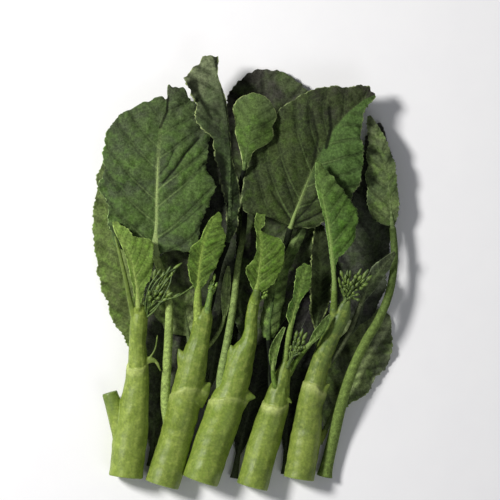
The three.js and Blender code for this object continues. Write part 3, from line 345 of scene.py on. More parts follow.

# Bud sprays: seed, radius of the main shoot, light (painted light: how much its bud colours are brightened),
# its ends, and the tips of its buds: those of the solids first, then more of them, and long bowed strands.
SPRAYS = {
    "buds_left": dict(
        seed=11, radius=1.5, light=1.1, root=[143.4, 320, 17.6], neck=[149.6, 303, 22],
        tips=[[147.5, 288, 24.4], [151.5, 277, 25], [156, 268, 27], [160, 284, 25], [165, 271, 27],
            [171, 266, 28], [178, 266, 26], [169, 281, 24], [181, 293, 24], [157, 292, 27], [150, 290, 29],
            [173, 292, 26]],
        more_tips=[[160, 297, 27], [164, 290, 26], [155, 300, 27], [151, 296, 28], [168, 298, 26]],
        strands=[
            [[147, 316, 20], [149, 297, 24], [158, 280, 27], [175, 268, 27]],
            [[146, 318, 20], [156, 309, 23], [165, 294, 26], [170, 284, 26.6], [172, 275, 26.4]],
            [[150, 312, 21], [163, 301, 25], [178, 296, 26], [191, 288, 25]],
            [[145, 318, 19], [146, 302, 24], [150, 286, 26.6], [158, 274, 27]]]),
    "buds_middle": dict(
        seed=23, radius=1.1, light=1.38, root=[257, 303.5, 20.8], neck=[261.8, 297, 22],
        tips=[[262.5, 286, 25], [266.5, 289, 24], [266, 296, 24.6], [264, 281, 23.4]],
        more_tips=[[265.5, 291, 25.6], [268, 289, 25.2], [263.5, 297, 26], [267.5, 294.5, 25.4],
            [266, 286, 26]]),
    "buds_slim": dict(
        seed=37, radius=1.3, light=1.03, root=[287, 368, 19], neck=[293.6, 353, 23],
        tips=[[297, 330, 26], [300, 336, 27.5], [303, 328, 25.6], [305, 340, 26.6], [300.5, 346, 26],
            [307, 332, 27], [294, 340, 25], [301, 352, 25.4]],
        more_tips=[[291, 345, 24.4], [306, 346, 26], [297, 345, 26.4], [300, 340, 27.4], [303, 346, 26.4],
            [292, 351, 24]]),
    "buds_right": dict(
        seed=53, radius=1.6, light=1.06, root=[342, 308, 25], neck=[348, 293, 28],
        tips=[[340, 270, 30], [345, 274, 32], [350, 270, 30], [356, 274, 31], [361, 268, 30],
            [368, 269, 31], [342, 281, 32], [351, 281, 34], [358, 282, 32], [365, 278, 30.4],
            [372, 275, 30], [354, 291, 30], [363, 287, 30], [346, 289, 32]],
        more_tips=[[338, 277, 31], [343, 288, 32], [348, 278, 33.4], [354, 278, 33], [361, 275, 31.6],
            [359, 294, 30], [350, 297, 31], [343, 296, 30], [366, 273, 31], [353, 285, 33.6],
            [357, 289, 31.6], [339, 284, 30.6], [347, 270, 31], [368, 283, 30], [360, 300, 29]]),
    "buds_wide": dict(
        seed=71, radius=2.21, light=1.42, root=[206.5, 314, 24.6], neck=[211, 291, 28],
        tips=[[214, 277, 27.4], [209.5, 283, 27.6], [217.5, 282, 27], [213, 285, 29.4]],
        more_tips=[[211, 279, 28], [215, 273, 28], [216, 287, 28]]),
}

# What a leaf's look has where LOOKS says nothing else: veins on each side and their angle in degrees, size
# of the teeth and ruffles, how far up the rib stays pale (reach), how wide the rib is (slim), and how strong
# the quilting, fresh patches, painted shade in the troughs beside the veins, gloss and painted highlight on
# the rim are.
PLAIN_LOOK = dict(
    veins=7, angle=50, tooth=0.8, ruffle=0.7, reach=0.8, slim=1.0, quilt=1.0, fresh=0.5, trough_shade=0.5,
    gloss=0.07, rim=0.5, rim_highlight_wide=0.5, stalk_turn=(0.5, 0.8), half=None, half_wander=0.7,
    notches=[], creases=[], shadows=[])

# Looks: colours of the blade, its second tone, tip, veins and rib, of the stalk's foot and top (near black
# on stalks that run in shade: painted shade), and of the painted highlight on the rim. Notches are x, y,
# depth and reach. A crease is a line, its depth and width; shade is painted along it. Shadows are painted
# shade in
# hollows: x, y, half width and height on the drawing grid, and depth. half paints light on the lit half of
# some blades and shade on the shaded half of others: from and to across it, colour, and from and to along
# it.
LOOKS = {
    "leaf_left_big": dict(
        base=(72, 92, 48), second=(63, 74, 51), tip=(60, 66, 50), vein=(112, 132, 80), rib=(158, 176, 112),
            stalk=(140, 160, 88), stalk_top=(148, 168, 98), veins=6, angle=52, ruffle=1.2, tooth=1.2,
            reach=0.78, slim=1.5, fresh=0.4,
        notches=[(166.5, 94, 4.0, 3.0), (150, 98, 1.6, 2.2), (206, 164, 3.0, 5.0), (204, 208, 2.0, 3.0),
            (136, 104, 1.4, 2.5)],
        creases=[
            ([(199, 138), (187, 152), (176, 168), (163, 183)], 1.6, 1.5),
            ([(168, 96), (167, 112), (160, 128)], 1.6, 1.5),
            ([(174, 150), (168, 165), (160, 174)], 0.8, 1.3),
            ([(203, 205), (184, 222), (162, 238)], 0.7, 1.5),
            ([(186, 180), (174, 190), (162, 200)], 0.5, 1.5)]),
    # near black stalk and dark rib, darker right half and shadows: painted shade of a dark gap
    "leaf_folded_tall": dict(
        base=(58, 71, 45), second=(42, 48, 36), tip=(106, 114, 86), vein=(80, 96, 60), rib=(46, 56, 36),
            stalk=(24, 28, 21), stalk_top=(24, 28, 21), rim_highlight_colour=(146, 160, 106), rim=1.0, rim_highlight_wide=0.95,
            angle=48, ruffle=1.3, tooth=1.0, reach=0.5, gloss=0.02,
            half=(0.0, 0.5, (42, 45, 39), 0.32, 0.5),
        notches=[(192, 98, 3.0, 2.5), (183, 80, -1.8, 2.2), (207, 61, -2.6, 3.6), (219, 56, 1.4, 1.8)],
        creases=[
            ([(190, 84), (197, 92), (203, 104), (212, 120)], 0.9, 3.2),
            ([(222, 178), (227, 196), (229, 214)], 1.0, 2.2)],
        shadows=[(193, 88, 6, 8, 1.4), (219, 172, 7, 18, 1.6), (222, 200, 6, 20, 1.6),
            (216, 112, 6, 16, 0.45)]),
    "leaf_back_dark": dict(
        base=(74, 87, 54), second=(58, 58, 52), tip=(62, 61, 56), vein=(66, 74, 58), rib=(84, 96, 62),
            stalk=(50, 60, 38), angle=52, ruffle=1.2, tooth=0.9, reach=0.9, gloss=0.02,
        shadows=[(228, 150, 8, 70, 0.9), (238, 110, 5, 30, 0.6)]),
    # the top of its stalk is near black: painted shade under other leaves
    "leaf_round_light": dict(
        base=(80, 100, 50), second=(68, 86, 44), tip=(84, 96, 64), vein=(88, 106, 62), rib=(84, 104, 58),
            stalk=(126, 146, 84), stalk_top=(22, 26, 20), stalk_turn=(0.63, 0.7),
            rim_highlight_colour=(164, 180, 116), rim=1.0, rim_highlight_wide=0.9, veins=5, ruffle=0.5, tooth=0.35, reach=0.4,
            trough_shade=0.25, quilt=0.45,
        notches=[(274, 126, 0.8, 1.6)],
        shadows=[(264, 126, 8, 9, 0.62), (258, 138, 6, 6, 0.4)]),
    # near black stalk: painted shade; half: painted light on the lit right half
    "leaf_right_big": dict(
        base=(58, 69, 38), second=(50, 58, 38), tip=(56, 51, 50), vein=(100, 120, 70), rib=(142, 162, 96),
            stalk=(34, 40, 28), stalk_top=(34, 40, 28), rim_highlight_colour=(140, 154, 104), rim=0.9, rim_highlight_wide=0.8,
            veins=6, ruffle=1.4, tooth=1.0, reach=0.36, slim=0.72,
            half=(-0.04, 0.06, (70, 95, 47), 0.25, 0.45), half_wander=0.15,
        notches=[(361, 140, 1.5, 4.0)],
        creases=[
            ([(329, 108), (331, 128), (326, 148)], 1.2, 2.2),
            ([(312, 112), (318, 140), (312, 168)], 0.9, 2.2),
            ([(285, 180), (292, 200), (296, 216)], 0.8, 1.6),
            ([(270, 190), (282, 208), (290, 220)], 0.8, 1.6),
            ([(318, 196), (306, 210), (296, 220)], 1.0, 1.6),
            ([(325, 210), (310, 218), (298, 223)], 1.0, 1.6)],
        shadows=[(294, 222, 5, 5, 0.9), (310, 207, 12, 7, 0.55), (352, 98, 10, 6, 0.4)]),
    "leaf_right_edge": dict(
        base=(102, 117, 73), second=(78, 92, 60), tip=(93, 99, 76), vein=(104, 118, 78), rib=(90, 108, 62),
            stalk=(104, 124, 62), stalk_top=(80, 98, 52), veins=6, angle=46, ruffle=0.9, tooth=0.9,
            reach=0.7, slim=0.7,
        shadows=[(358, 150, 4, 40, 0.5)]),
    "leaf_half_view": dict(
        base=(78, 106, 46), second=(64, 88, 40), tip=(84, 104, 56), vein=(100, 122, 66),
        rib=(128, 150, 82), stalk=(106, 128, 60), angle=48, ruffle=1.2, tooth=1.0, trough_shade=0.4),
    "young_leaf_wide": dict(
        base=(83, 106, 45), second=(68, 90, 37), tip=(88, 112, 46), vein=(112, 136, 58),
        rib=(138, 158, 76), veins=8, angle=46, ruffle=0.9, reach=1.0, trough_shade=0.4),
    "young_leaf_middle": dict(
        base=(86, 111, 43), second=(71, 93, 37), tip=(88, 110, 50), vein=(116, 138, 70),
            rib=(134, 156, 76), veins=8, angle=46, ruffle=0.9, reach=1.0, trough_shade=0.4,
        notches=[(270, 245, 3.0, 2.0), (283, 236, -2.6, 1.8), (259, 217, 1.0, 1.2)]),
    "young_leaf_slim": dict(
        base=(76, 102, 40), second=(56, 80, 34), tip=(88, 110, 52), vein=(112, 134, 68),
        rib=(124, 146, 74), angle=44, tooth=0.7, reach=1.0, trough_shade=0.4),
    # near black stalk: painted shade
    "leaf_rolled_long": dict(
        base=(112, 133, 74), second=(85, 104, 58), tip=(68, 80, 55), vein=(70, 90, 46), rib=(60, 78, 42),
        stalk=(24, 28, 21), stalk_top=(24, 28, 21), veins=8, ruffle=0.3, tooth=0.5, reach=0.5),
    "leaf_left_under": dict(
        base=(98, 114, 63), second=(82, 93, 54), tip=(84, 94, 62), vein=(100, 116, 72), rib=(138, 156, 92),
        veins=8, angle=52, ruffle=1.0, tooth=1.0, reach=1.0, trough_shade=0.4),
    "leaf_right_under": dict(
        base=(132, 147, 96), second=(95, 103, 80), tip=(94, 102, 76), vein=(92, 108, 64),
            rib=(104, 120, 72), ruffle=0.9, tooth=1.0, reach=1.0, trough_shade=0.45,
        shadows=[(345, 350, 9, 9, 0.8), (352, 362, 9, 5, 0.6), (338, 392, 6, 14, 0.7)]),
    # dark grey colours: partly painted shade
    "leaf_right_shade": dict(
        base=(70, 76, 62), second=(54, 53, 53), tip=(63, 60, 61), vein=(64, 70, 58), rib=(72, 80, 60),
            ruffle=0.8, tooth=0.9, gloss=0.03,
        notches=[(331, 299, -2.2, 4.0)]),
    "leaf_right_folded": dict(
        base=(100, 112, 79), second=(74, 83, 63), tip=(84, 92, 66), vein=(94, 104, 74), rib=(112, 124, 82),
        stalk=(84, 92, 64), angle=48, ruffle=0.6, reach=1.0),
    "leaf_gap_left": dict(
        base=(130, 146, 92), second=(95, 102, 77), tip=(56, 54, 52), vein=(84, 98, 62), rib=(92, 106, 66),
            ruffle=0.8, reach=0.9, gloss=0.03,
        shadows=[(184, 276, 9, 20, 0.9), (176, 262, 7, 6, 0.7)]),
    "young_leaf_left": dict(
        base=(100, 124, 54), second=(78, 102, 42), tip=(116, 138, 70), vein=(130, 150, 78),
        rib=(156, 174, 96), angle=46, ruffle=0.9, reach=1.0, trough_shade=0.35),
    "leaf_small_shade": dict(
        base=(148, 165, 106), second=(123, 138, 92), tip=(113, 130, 76), vein=(116, 132, 80),
        rib=(118, 134, 80), veins=6, angle=44, ruffle=0.3, tooth=0.4),
    # very dark colours: partly painted shade
    "leaf_ruffled_shade": dict(
        base=(45, 54, 30), second=(31, 37, 23), tip=(45, 50, 33), vein=(62, 74, 46), rib=(60, 72, 42),
            rim_highlight_colour=(150, 166, 104), rim=1.0, rim_highlight_wide=0.9, angle=48, ruffle=1.4, tooth=1.1, gloss=0.03,
        notches=[(331, 299, -2.2, 4.0)]),
    "leaf_spear": dict(
        base=(76, 98, 42), second=(58, 80, 34), tip=(84, 104, 56), vein=(104, 124, 68), rib=(120, 142, 78),
        stalk=(92, 116, 50), veins=6, angle=40, ruffle=0.3, tooth=0.3),
    "leaf_bract": dict(
        base=(82, 106, 44), second=(62, 84, 36), tip=(92, 112, 60), vein=(108, 128, 70),
        rib=(124, 144, 80), stalk=(92, 116, 50), veins=5, angle=40, ruffle=0.2, tooth=0.3),
    # the leaves under the stems: dark grey colours, partly painted shade of the gaps between the stems
    "leaf_floor_left": dict(
        base=(82, 88, 70), second=(58, 59, 53), tip=(67, 64, 64), vein=(78, 84, 66), rib=(80, 88, 66),
        veins=6, gloss=0.03),
    "leaf_floor_middle": dict(
        base=(54, 58, 47), second=(37, 38, 36), tip=(46, 43, 45), vein=(66, 70, 58), rib=(68, 74, 58),
        gloss=0.03),
    "leaf_floor_right": dict(
        base=(50, 54, 44), second=(34, 35, 34), tip=(44, 41, 43), vein=(62, 67, 54), rib=(64, 70, 54),
        gloss=0.03),
    "leaf_middle_under": dict(
        base=(68, 74, 58), second=(48, 50, 45), tip=(56, 55, 55), vein=(80, 86, 68), rib=(84, 92, 68),
        gloss=0.03),
}


def on_plan(points):
    """Points of the drawing grid in millimetres. What follows the three coordinates stays as it is."""
    rows = []
    for x, y, z, *more in points:
        place = [(x - GRID_X) * GRID, (GRID_Y - y) * GRID, z] + SHIFT
        rows.append([*place, *more])
    return np.array(rows, float)


def spot_on_plan(x, y):
    return on_plan([[x, y, 0]])[0, :2]


def unit(vectors):
    length = np.linalg.norm(vectors, axis=-1, keepdims=True)
    return vectors / np.maximum(length, 1e-9)


class Run:
    """A smooth run through points, measured 0 to 1 by the length between them, as in the solids."""

    def __init__(self, points):
        self.points = on_plan(points)
        step = np.linalg.norm(np.diff(self.points[:, :3], axis=0), axis=1)
        at = np.concatenate([[0.0], np.cumsum(step)])
        self.total = at[-1]
        self.marks = at / at[-1]
        count = len(self.points)
        before = np.maximum(np.arange(count) - 1, 0)
        after = np.minimum(np.arange(count) + 1, count - 1)
        between = (self.marks[after] - self.marks[before])[:, None]
        self.slopes = (self.points[after] - self.points[before]) / between

    def sample(self, t):
        t = np.atleast_1d(np.asarray(t, float))
        i = np.clip(np.searchsorted(self.marks, t, side="left") - 1, 0, len(self.marks) - 2)
        span = (self.marks[i + 1] - self.marks[i])[:, None]
        u = (t - self.marks[i])[:, None] / span
        a = 2 * u**3 - 3 * u**2 + 1
        b = u**3 - 2 * u**2 + u
        c = 3 * u**2 - 2 * u**3
        d = u**3 - u**2
        return (a * self.points[i] + b * span * self.slopes[i]
                + c * self.points[i + 1] + d * span * self.slopes[i + 1])

    def place(self, t):
        return self.sample(t)[:, :3]

    def radius(self, t):
        return self.sample(t)[:, 3]

    def heading(self, t):
        t = np.atleast_1d(np.asarray(t, float))
        step = 0.002
        return unit(self.place(np.minimum(t + step, 1)) - self.place(np.maximum(t - step, 0)))

    def frame_at(self, t):
        heading = self.heading(t)
        side = unit(np.stack([heading[:, 1], -heading[:, 0], np.zeros(len(heading))], axis=1))
        up = np.cross(side, heading)
        return self.place(t), heading, side, up


def even_value(numbers, s):
    """A smooth value between numbers that stand at even steps from 0 to 1, as in the solids."""
    numbers = np.asarray(numbers, float)
    last = len(numbers) - 1
    place = np.clip(s, 0, 1) * last
    i = np.minimum(np.floor(place).astype(int), last - 1)
    u = place - i
    before = numbers[np.maximum(i - 1, 0)]
    after = numbers[np.minimum(i + 2, last)]
    slope_a = (numbers[i + 1] - before) / np.where(i == 0, 1, 2)
    slope_b = (after - numbers[i]) / np.where(i + 2 > last, 1, 2)
    return ((2 * u**3 - 3 * u**2 + 1) * numbers[i] + (u**3 - 2 * u**2 + u) * slope_a
            + (3 * u**2 - 2 * u**3) * numbers[i + 1] + (u**3 - u**2) * slope_b)


def half_width(numbers, s):
    squares = np.asarray(numbers, float) ** 2
    return np.sqrt(np.maximum(even_value(squares, s), 0.3)) * GRID


def smooth(low, high, value):
    u = np.clip((value - low) / (high - low), 0, 1)
    return u * u * (3 - 2 * u)


def bump(distance, wide):
    """A round bump: 1 where the distance is 0, and near 0 at twice its width."""
    return np.exp(-((distance / wide) ** 2))


def waves(x, y, random, size, count=7):
    """Smooth seeded noise about -1 to 1, made of waves of about the given size."""
    total = np.zeros(np.broadcast(x, y).shape)
    for _ in range(count):
        angle = random.uniform(0, 2 * math.pi)
        length = size * random.uniform(0.7, 1.5)
        phase = random.uniform(0, 2 * math.pi)
        total += np.sin((x * math.cos(angle) + y * math.sin(angle)) * 2 * math.pi / length + phase)
    return total / math.sqrt(count)


def blade_middle(leaf, run, t, s, v):
    """The middle sheet of a blade on rows s and columns v, with its half width, as in the solids."""
    place, heading, side, _ = run.frame_at(t)
    right = (v > 0)[None, :]
    across = np.abs(v)[None, :]
    width = np.where(right, half_width(leaf["right"], s)[:, None], half_width(leaf["left"], s)[:, None])
    slopes = [even_value(leaf[key], s)[:, None] for key in ("slope_left", "slope_right")]
    slope = np.where(right, slopes[1], slopes[0])
    arch = even_value(leaf["arch"], s)[:, None]
    height, count, phase = leaf["wave"]
    fade = (np.sin(math.pi * np.minimum(s * 1.04 + 0.02, 1)).clip(0) ** 0.5)[:, None]
    turn = 2 * math.pi * count * s[:, None] + phase + np.where(right, 2.1, 0.0)
    wave = height * fade * across**2 * np.sin(turn) * np.minimum(width / 6, 1)
    lift = slope * across * width + arch * across**2 * width + wave
    back = leaf.get("back", 0) * across**2 * width * ((1 - s) ** 6 * smooth(0, 0.1, s))[:, None]
    points = (place[:, None, :] + side[:, None, :] * (np.sign(v)[None, :] * across * width)[..., None]
              + np.array([0, 0, 1.0]) * lift[..., None] - heading[:, None, :] * back[..., None])
    return points, width


def sheet_normals(points):
    along = np.gradient(points, axis=0)
    across = np.gradient(points, axis=1)
    return unit(np.cross(across, along))


def new_object(name, vertices, faces, marks):
    """A mesh object from millimetres, with one number for each vertex under each name in marks."""
    mesh = bpy.data.meshes.new(name)
    vertices = np.asarray(vertices, float) * MM
    faces = np.asarray(faces, np.int32)
    count, corners = faces.shape
    mesh.vertices.add(len(vertices))
    mesh.vertices.foreach_set("co", vertices.ravel())
    mesh.loops.add(faces.size)
    mesh.loops.foreach_set("vertex_index", faces.ravel())
    mesh.polygons.add(count)
    mesh.polygons.foreach_set("loop_start", np.arange(0, faces.size, corners, dtype=np.int32))
    mesh.polygons.foreach_set("loop_total", np.full(count, corners, np.int32))
    mesh.update(calc_edges=True)
    mesh.validate()
    mesh.polygons.foreach_set("use_smooth", np.ones(len(mesh.polygons), bool))
    for key, values in marks.items():
        layer = mesh.attributes.new(key, "FLOAT", "POINT")
        layer.data.foreach_set("value", np.asarray(values, np.float32).ravel())
    return into_scene(name, mesh)


def into_scene(name, data):
    made = bpy.data.objects.new(name, data)
    bpy.context.scene.collection.objects.link(made)
    return made


def grid_faces(rows, columns, first, turned):
    i = np.arange(rows - 1)[:, None] * columns
    j = np.arange(columns - 1)[None, :]
    a = (first + i + j).ravel()
    quad = np.stack([a, a + 1, a + columns + 1, a + columns], axis=1)
    return quad[:, ::-1] if turned else quad


def sheet_parts(points, normals, thick, marks):
    """Closes a sheet of points into a thin leaf: an upper face, a lower face and a narrow rim."""
    rows, columns = points.shape[:2]
    upper = points + normals * (thick / 2)[..., None]
    lower = points - normals * (thick / 2)[..., None]
    count = rows * columns
    vertices = np.concatenate([upper.reshape(-1, 3), lower.reshape(-1, 3)])
    faces = [grid_faces(rows, columns, 0, False), grid_faces(rows, columns, count, True)]
    index = np.arange(count).reshape(rows, columns)
    for edge, turned in ((index[:, 0], True), (index[:, -1], False), (index[0], False), (index[-1], True)):
        a, b = edge[:-1], edge[1:]
        quad = np.stack([a, b, b + count, a + count], axis=1)
        faces.append(quad if turned else quad[:, ::-1])
    both = {key: np.concatenate([value.ravel(), value.ravel()]) for key, value in marks.items()}
    both["under"] = np.concatenate([np.zeros(count), np.ones(count)])
    return vertices, np.concatenate(faces), both


def tube_parts(centre, side, up, wide, high, sides, marks):
    """A closed tube of rings. wide and high are its half sizes across and up at each ring."""
    rows = len(centre)
    angle = np.arange(sides) / sides * 2 * math.pi
    ring = (side[:, None, :] * (np.cos(angle)[None, :] * wide[:, None])[..., None]
            + up[:, None, :] * (np.sin(angle)[None, :] * high[:, None])[..., None])
    vertices = (centre[:, None, :] + ring).reshape(-1, 3)
    i = np.arange(rows - 1)[:, None] * sides
    j = np.arange(sides)[None, :]
    k = (j + 1) % sides
    corners = [i + j, i + sides + j, i + sides + k, i + k]
    faces = np.stack([corner.ravel() for corner in corners], axis=1)
    caps = []
    for first, turned in ((0, False), ((rows - 1) * sides, True)):
        for n in range(sides // 2 - 1):
            quad = [first + n, first + n + 1, first + sides - 2 - n, first + sides - 1 - n]
            caps.append(quad[::-1] if turned else quad)
    faces = np.concatenate([faces, np.array(caps)])
    spread = {key: np.repeat(value, sides) for key, value in marks.items()}
    spread["under"] = np.tile((np.sin(angle) < -0.2).astype(float), rows)
    return vertices, faces, spread


def tube_along(run, t, wide, high, sides, marks):
    centre, _, side, up = run.frame_at(t)
    return tube_parts(centre, side, up, wide, high, sides, marks)


def join_parts(parts):
    vertices, faces, marks, first = [], [], {}, 0
    for part_vertices, part_faces, part_marks in parts:
        vertices.append(part_vertices)
        faces.append(part_faces + first)
        first += len(part_vertices)
        for key, values in part_marks.items():
            marks.setdefault(key, []).append(values)
    return np.concatenate(vertices), np.concatenate(faces), {k: np.concatenate(v) for k, v in marks.items()}


def leaf_rows(length, gap):
    """Places of the rows from foot to tip, closer together toward both ends."""
    count = int(np.clip(length / gap, *ROW_LIMITS))
    even = np.linspace(0, 1, count + 1)
    return 0.6 * even + 0.4 * (1 - np.cos(math.pi * even)) / 2


class Blade:
    """The sheet of one leaf: rows from foot to tip, columns from the left margin to the right one."""

    def __init__(self, leaf, look, order):
        self.look = look
        self.random = np.random.RandomState(LEAF_SEED + order)
        self.run = Run(leaf["stalk"] + leaf["rib"])
        self.start = self.run.marks[len(leaf["stalk"])]
        self.length = self.run.total * (1 - self.start)
        gap = HIDDEN_GAP if leaf["colour"] == "shade_leaf" else TOP_GAP
        widest = (max(leaf["left"]) + max(leaf["right"])) * GRID
        self.size = min(1.0, widest / FULL_SIZE)
        self.middle = int(np.clip(widest / gap / 2, *COLUMN_LIMITS))
        line = np.linspace(-1, 1, self.middle * 2 + 1)
        v = np.sign(line) * np.abs(line) ** 0.92
        self.s = leaf_rows(self.length, gap)
        self.points, self.width = blade_middle(leaf, self.run, self.on_run(self.s), self.s, v)
        self.v = v[None, :]
        self.side = np.sign(self.v)
        self.across = np.abs(self.v)
        self.right = self.v > 0
        self.along_mm = self.s[:, None] * self.length
        self.out_mm = self.across * self.width
        to_end = np.minimum(self.along_mm, self.length - self.along_mm)
        self.edge_mm = np.minimum((1 - self.across) * self.width, to_end + 0.4)
        self.ends = (smooth(0.0, 0.06, self.s) * (1 - smooth(0.95, 1.0, self.s)))[:, None]
        # where shade is painted on the blade: along its creases and in its hollows
        self.painted_shade = np.zeros(self.width.shape)

    def on_run(self, part):
        """The place on the whole run, stalk and rib, of a part of the blade from 0 to 1."""
        return self.start + (1 - self.start) * part


def vein_distance(blade):
    """How far each point lies from a side vein. The veins leave the rib at an angle and bend forward."""
    angle = math.radians(blade.look["angle"])
    count = blade.look["veins"]
    path = blade.along_mm - blade.out_mm / math.tan(angle) - VEIN_BEND * blade.out_mm**2
    spacing = blade.length * VEIN_PART / count
    nearest = np.full(path.shape, FAR)
    for half in (False, True):
        starts = spacing * (np.arange(-3, count + 1) + 0.35 + (0.4 if half else 0.0))
        starts = starts + blade.random.uniform(-0.18, 0.18, len(starts)) * spacing
        distance = np.min(np.abs(path[..., None] - starts), axis=2) * math.sin(angle)
        nearest = np.where(blade.right == half, distance, nearest)
    return nearest


def ragged_margin(blade):
    """Draws each margin: how far its teeth and shallow lobes stand out, and how high its ruffles go."""
    random, size = blade.random, blade.size
    teeth = np.zeros(blade.width.shape)
    ruffle = np.zeros(blade.width.shape)
    far = blade.s * blade.length
    still = 0 * far
    for half in (False, True):
        period = random.uniform(2.7, 3.5)
        drift = 1.3 * waves(far, still, random, 12.0)
        saw = 1 - np.abs(((far + drift) / period) % 1.0 * 2 - 1)
        fine_saw = np.abs(((far - drift) / 1.9) % 1.0 * 2 - 1)
        spikes = 1 - np.abs(waves(far, still, random, 6.5))
        lobes = waves(far, still, random, 9.0 + 7.0 * size)
        jagged = 0.8 * saw + 0.5 * fine_saw + 0.6 * spikes + (0.5 + 0.5 * size) * lobes - 0.8
        small = 0.55 * waves(far, still, random, 7.5) + 0.55 * waves(far, still, random, 16.0)
        teeth = np.where(blade.right == half, (jagged * blade.look["tooth"])[:, None], teeth)
        ruffle = np.where(blade.right == half, small[:, None], ruffle)
    return teeth, ruffle


def shape_margin(blade, teeth):
    """Moves the margin in plan: teeth on both sides, small teeth about the tip, and torn notches."""
    side = blade.run.frame_at(blade.on_run(blade.s))[2]
    stretch = teeth * blade.ends * blade.across**8 * np.minimum(blade.width / 5, 1)
    points = blade.points + side[:, None, :] * (blade.side * stretch)[..., None]
    heart = blade.run.place(blade.on_run(0.55))[0, :2]
    inward = unit(heart - points[..., :2])
    tip_teeth = waves(points[..., 0], points[..., 1], blade.random, 4.5) * 0.8 * blade.look["tooth"]
    tip_pull = tip_teeth * np.exp(-blade.edge_mm / 1.6) * smooth(0.9, 0.97, blade.s)[:, None]
    points[..., :2] += inward * tip_pull[..., None]
    for x, y, depth, reach in blade.look["notches"]:
        away = np.linalg.norm(points[..., :2] - spot_on_plan(x, y), axis=-1)
        pull = depth * bump(away, reach) * np.exp(-blade.edge_mm / (1.4 * abs(depth)))
        points[..., :2] += inward * pull[..., None]
    blade.points = points


def distance_to_line(points, line):
    """How far each point lies, in plan, from a line of straight pieces."""
    nearest = np.full(points.shape[:2], FAR)
    for first, second in zip(line[:-1], line[1:]):
        reach = second - first
        part = np.clip(((points[..., :2] - first) @ reach) / (reach @ reach), 0, 1)
        gap = np.linalg.norm(points[..., :2] - first - part[..., None] * reach, axis=-1)
        nearest = np.minimum(nearest, gap)
    return nearest


def crease_depth(blade):
    """How deep the narrow valleys of the blade are. Shade is painted along their lines."""
    sunk = np.zeros(blade.width.shape)
    for line, depth, wide in blade.look["creases"]:
        away = distance_to_line(blade.points, np.array([spot_on_plan(x, y) for x, y in line]))
        sunk = sunk + depth * bump(away, wide)
        # painted shade along the crease line
        blade.painted_shade = np.maximum(blade.painted_shade, bump(away, 0.6 * wide) * min(depth / 1.3, 1.0))
    return sunk


def lift_surface(blade, veins, ruffle, sunk):
    """Raises the blade between its veins, sinks it along them, the rib and creases, ruffles its margin."""
    big = np.minimum(blade.width / 16, 1)
    quilt = 0.8 * (1 - bump(veins, 2.6)) * big
    for height, size in ((0.35, 9.0), (0.5, 24.0), (0.17, 4.6)):
        quilt = quilt + height * big * waves(blade.along_mm, blade.out_mm * blade.side, blade.random, size)
    quilt = quilt - 0.45 * bump(blade.out_mm, 1.6) * big
    quilt = quilt * blade.look["quilt"] - sunk
    ruffled = blade.look["ruffle"] * ruffle * blade.ends * blade.across**3 * np.minimum(blade.width / 9, 1)
    lift = quilt * blade.ends * smooth(0.0, 0.25, blade.across) + ruffled
    blade.points = blade.points + sheet_normals(blade.points) * lift[..., None]


def paint_hollow_shade(blade):
    """Paints shade into the hollows of the blade that hardly any light reaches."""
    for x, y, wide_x, wide_y, depth in blade.look["shadows"]:
        away = (blade.points[..., :2] - spot_on_plan(x, y)) / GRID
        hollow_shade = depth * np.exp(-((away[..., 0] / wide_x) ** 2) - (away[..., 1] / wide_y) ** 2)
        blade.painted_shade = np.maximum(blade.painted_shade, hollow_shade)


def blade_parts(blade, normals, veins):
    flat = np.ones(blade.width.shape)
    thick = BLADE * (0.72 + 0.28 * smooth(0, 3.0, blade.edge_mm))
    marks = {"vein": veins, "edge": blade.edge_mm, "along": blade.s[:, None] * flat,
             "across": blade.across * flat, "rib": 0 * flat, "out": blade.out_mm, "painted_shade": blade.painted_shade,
             "half": blade.v * flat, "stalk": 0 * flat}
    return sheet_parts(blade.points, normals, thick, marks)


def rib_parts(leaf, blade, normals):
    """Stalk and rib: one tapering shoot that shows as a ridge above and a keel below the blade."""
    run, start = blade.run, blade.start
    near, far = leaf["radius"]
    stalk_t = np.linspace(0, start, max(6, int(run.total * start / 1.6)))[:-1]
    centre_a, _, side_a, up_a = run.frame_at(stalk_t)
    radius_a = near + (far - near) * stalk_t / start
    radius_a = radius_a * (1 + 0.3 * np.exp(-stalk_t * run.total / 4))
    rib_s = np.linspace(0, 0.985, max(12, int(blade.length / 1.2)))
    last = len(blade.s) - 1
    row = np.clip(np.interp(rib_s, blade.s, np.arange(len(blade.s))), 0, last)
    low = np.floor(row).astype(int)
    high = np.minimum(low + 1, last)
    part = (row - low)[:, None]

    def on_rib(values):
        return values[low, blade.middle] * (1 - part) + values[high, blade.middle] * part

    normal_b = unit(on_rib(normals))
    side_of = run.frame_at(blade.on_run(rib_s))[2]
    side_b = unit(side_of - normal_b * np.sum(side_of * normal_b, axis=1, keepdims=True))
    radius_b = (far - RIB_TIP) * (1 - rib_s) ** 1.15 + RIB_TIP
    settle = smooth(0, 0.16, rib_s)
    wide_b = radius_b * (1 - 0.14 * settle) * blade.look["slim"]
    high_b = radius_b * (1 - 0.38 * settle)
    centre_b = on_rib(blade.points) - normal_b * (radius_b * 0.34 * settle)[:, None]
    centre, side, up, wide, tall = (np.concatenate(pair) for pair in (
        (centre_a, centre_b), (side_a, side_b), (up_a, normal_b), (radius_a, wide_b), (radius_a, high_b)))
    none = np.zeros(len(centre))
    marks = {"vein": none + 9.0, "edge": none + 9.0, "along": np.concatenate([0 * stalk_t, rib_s]),
             "across": none, "rib": none + 1.0, "out": none, "painted_shade": none, "half": none,
             "stalk": np.concatenate([1 - 0.5 * stalk_t / start, 0 * rib_s])}
    return tube_parts(centre, side, up, wide, tall, RIB_SIDES, marks)


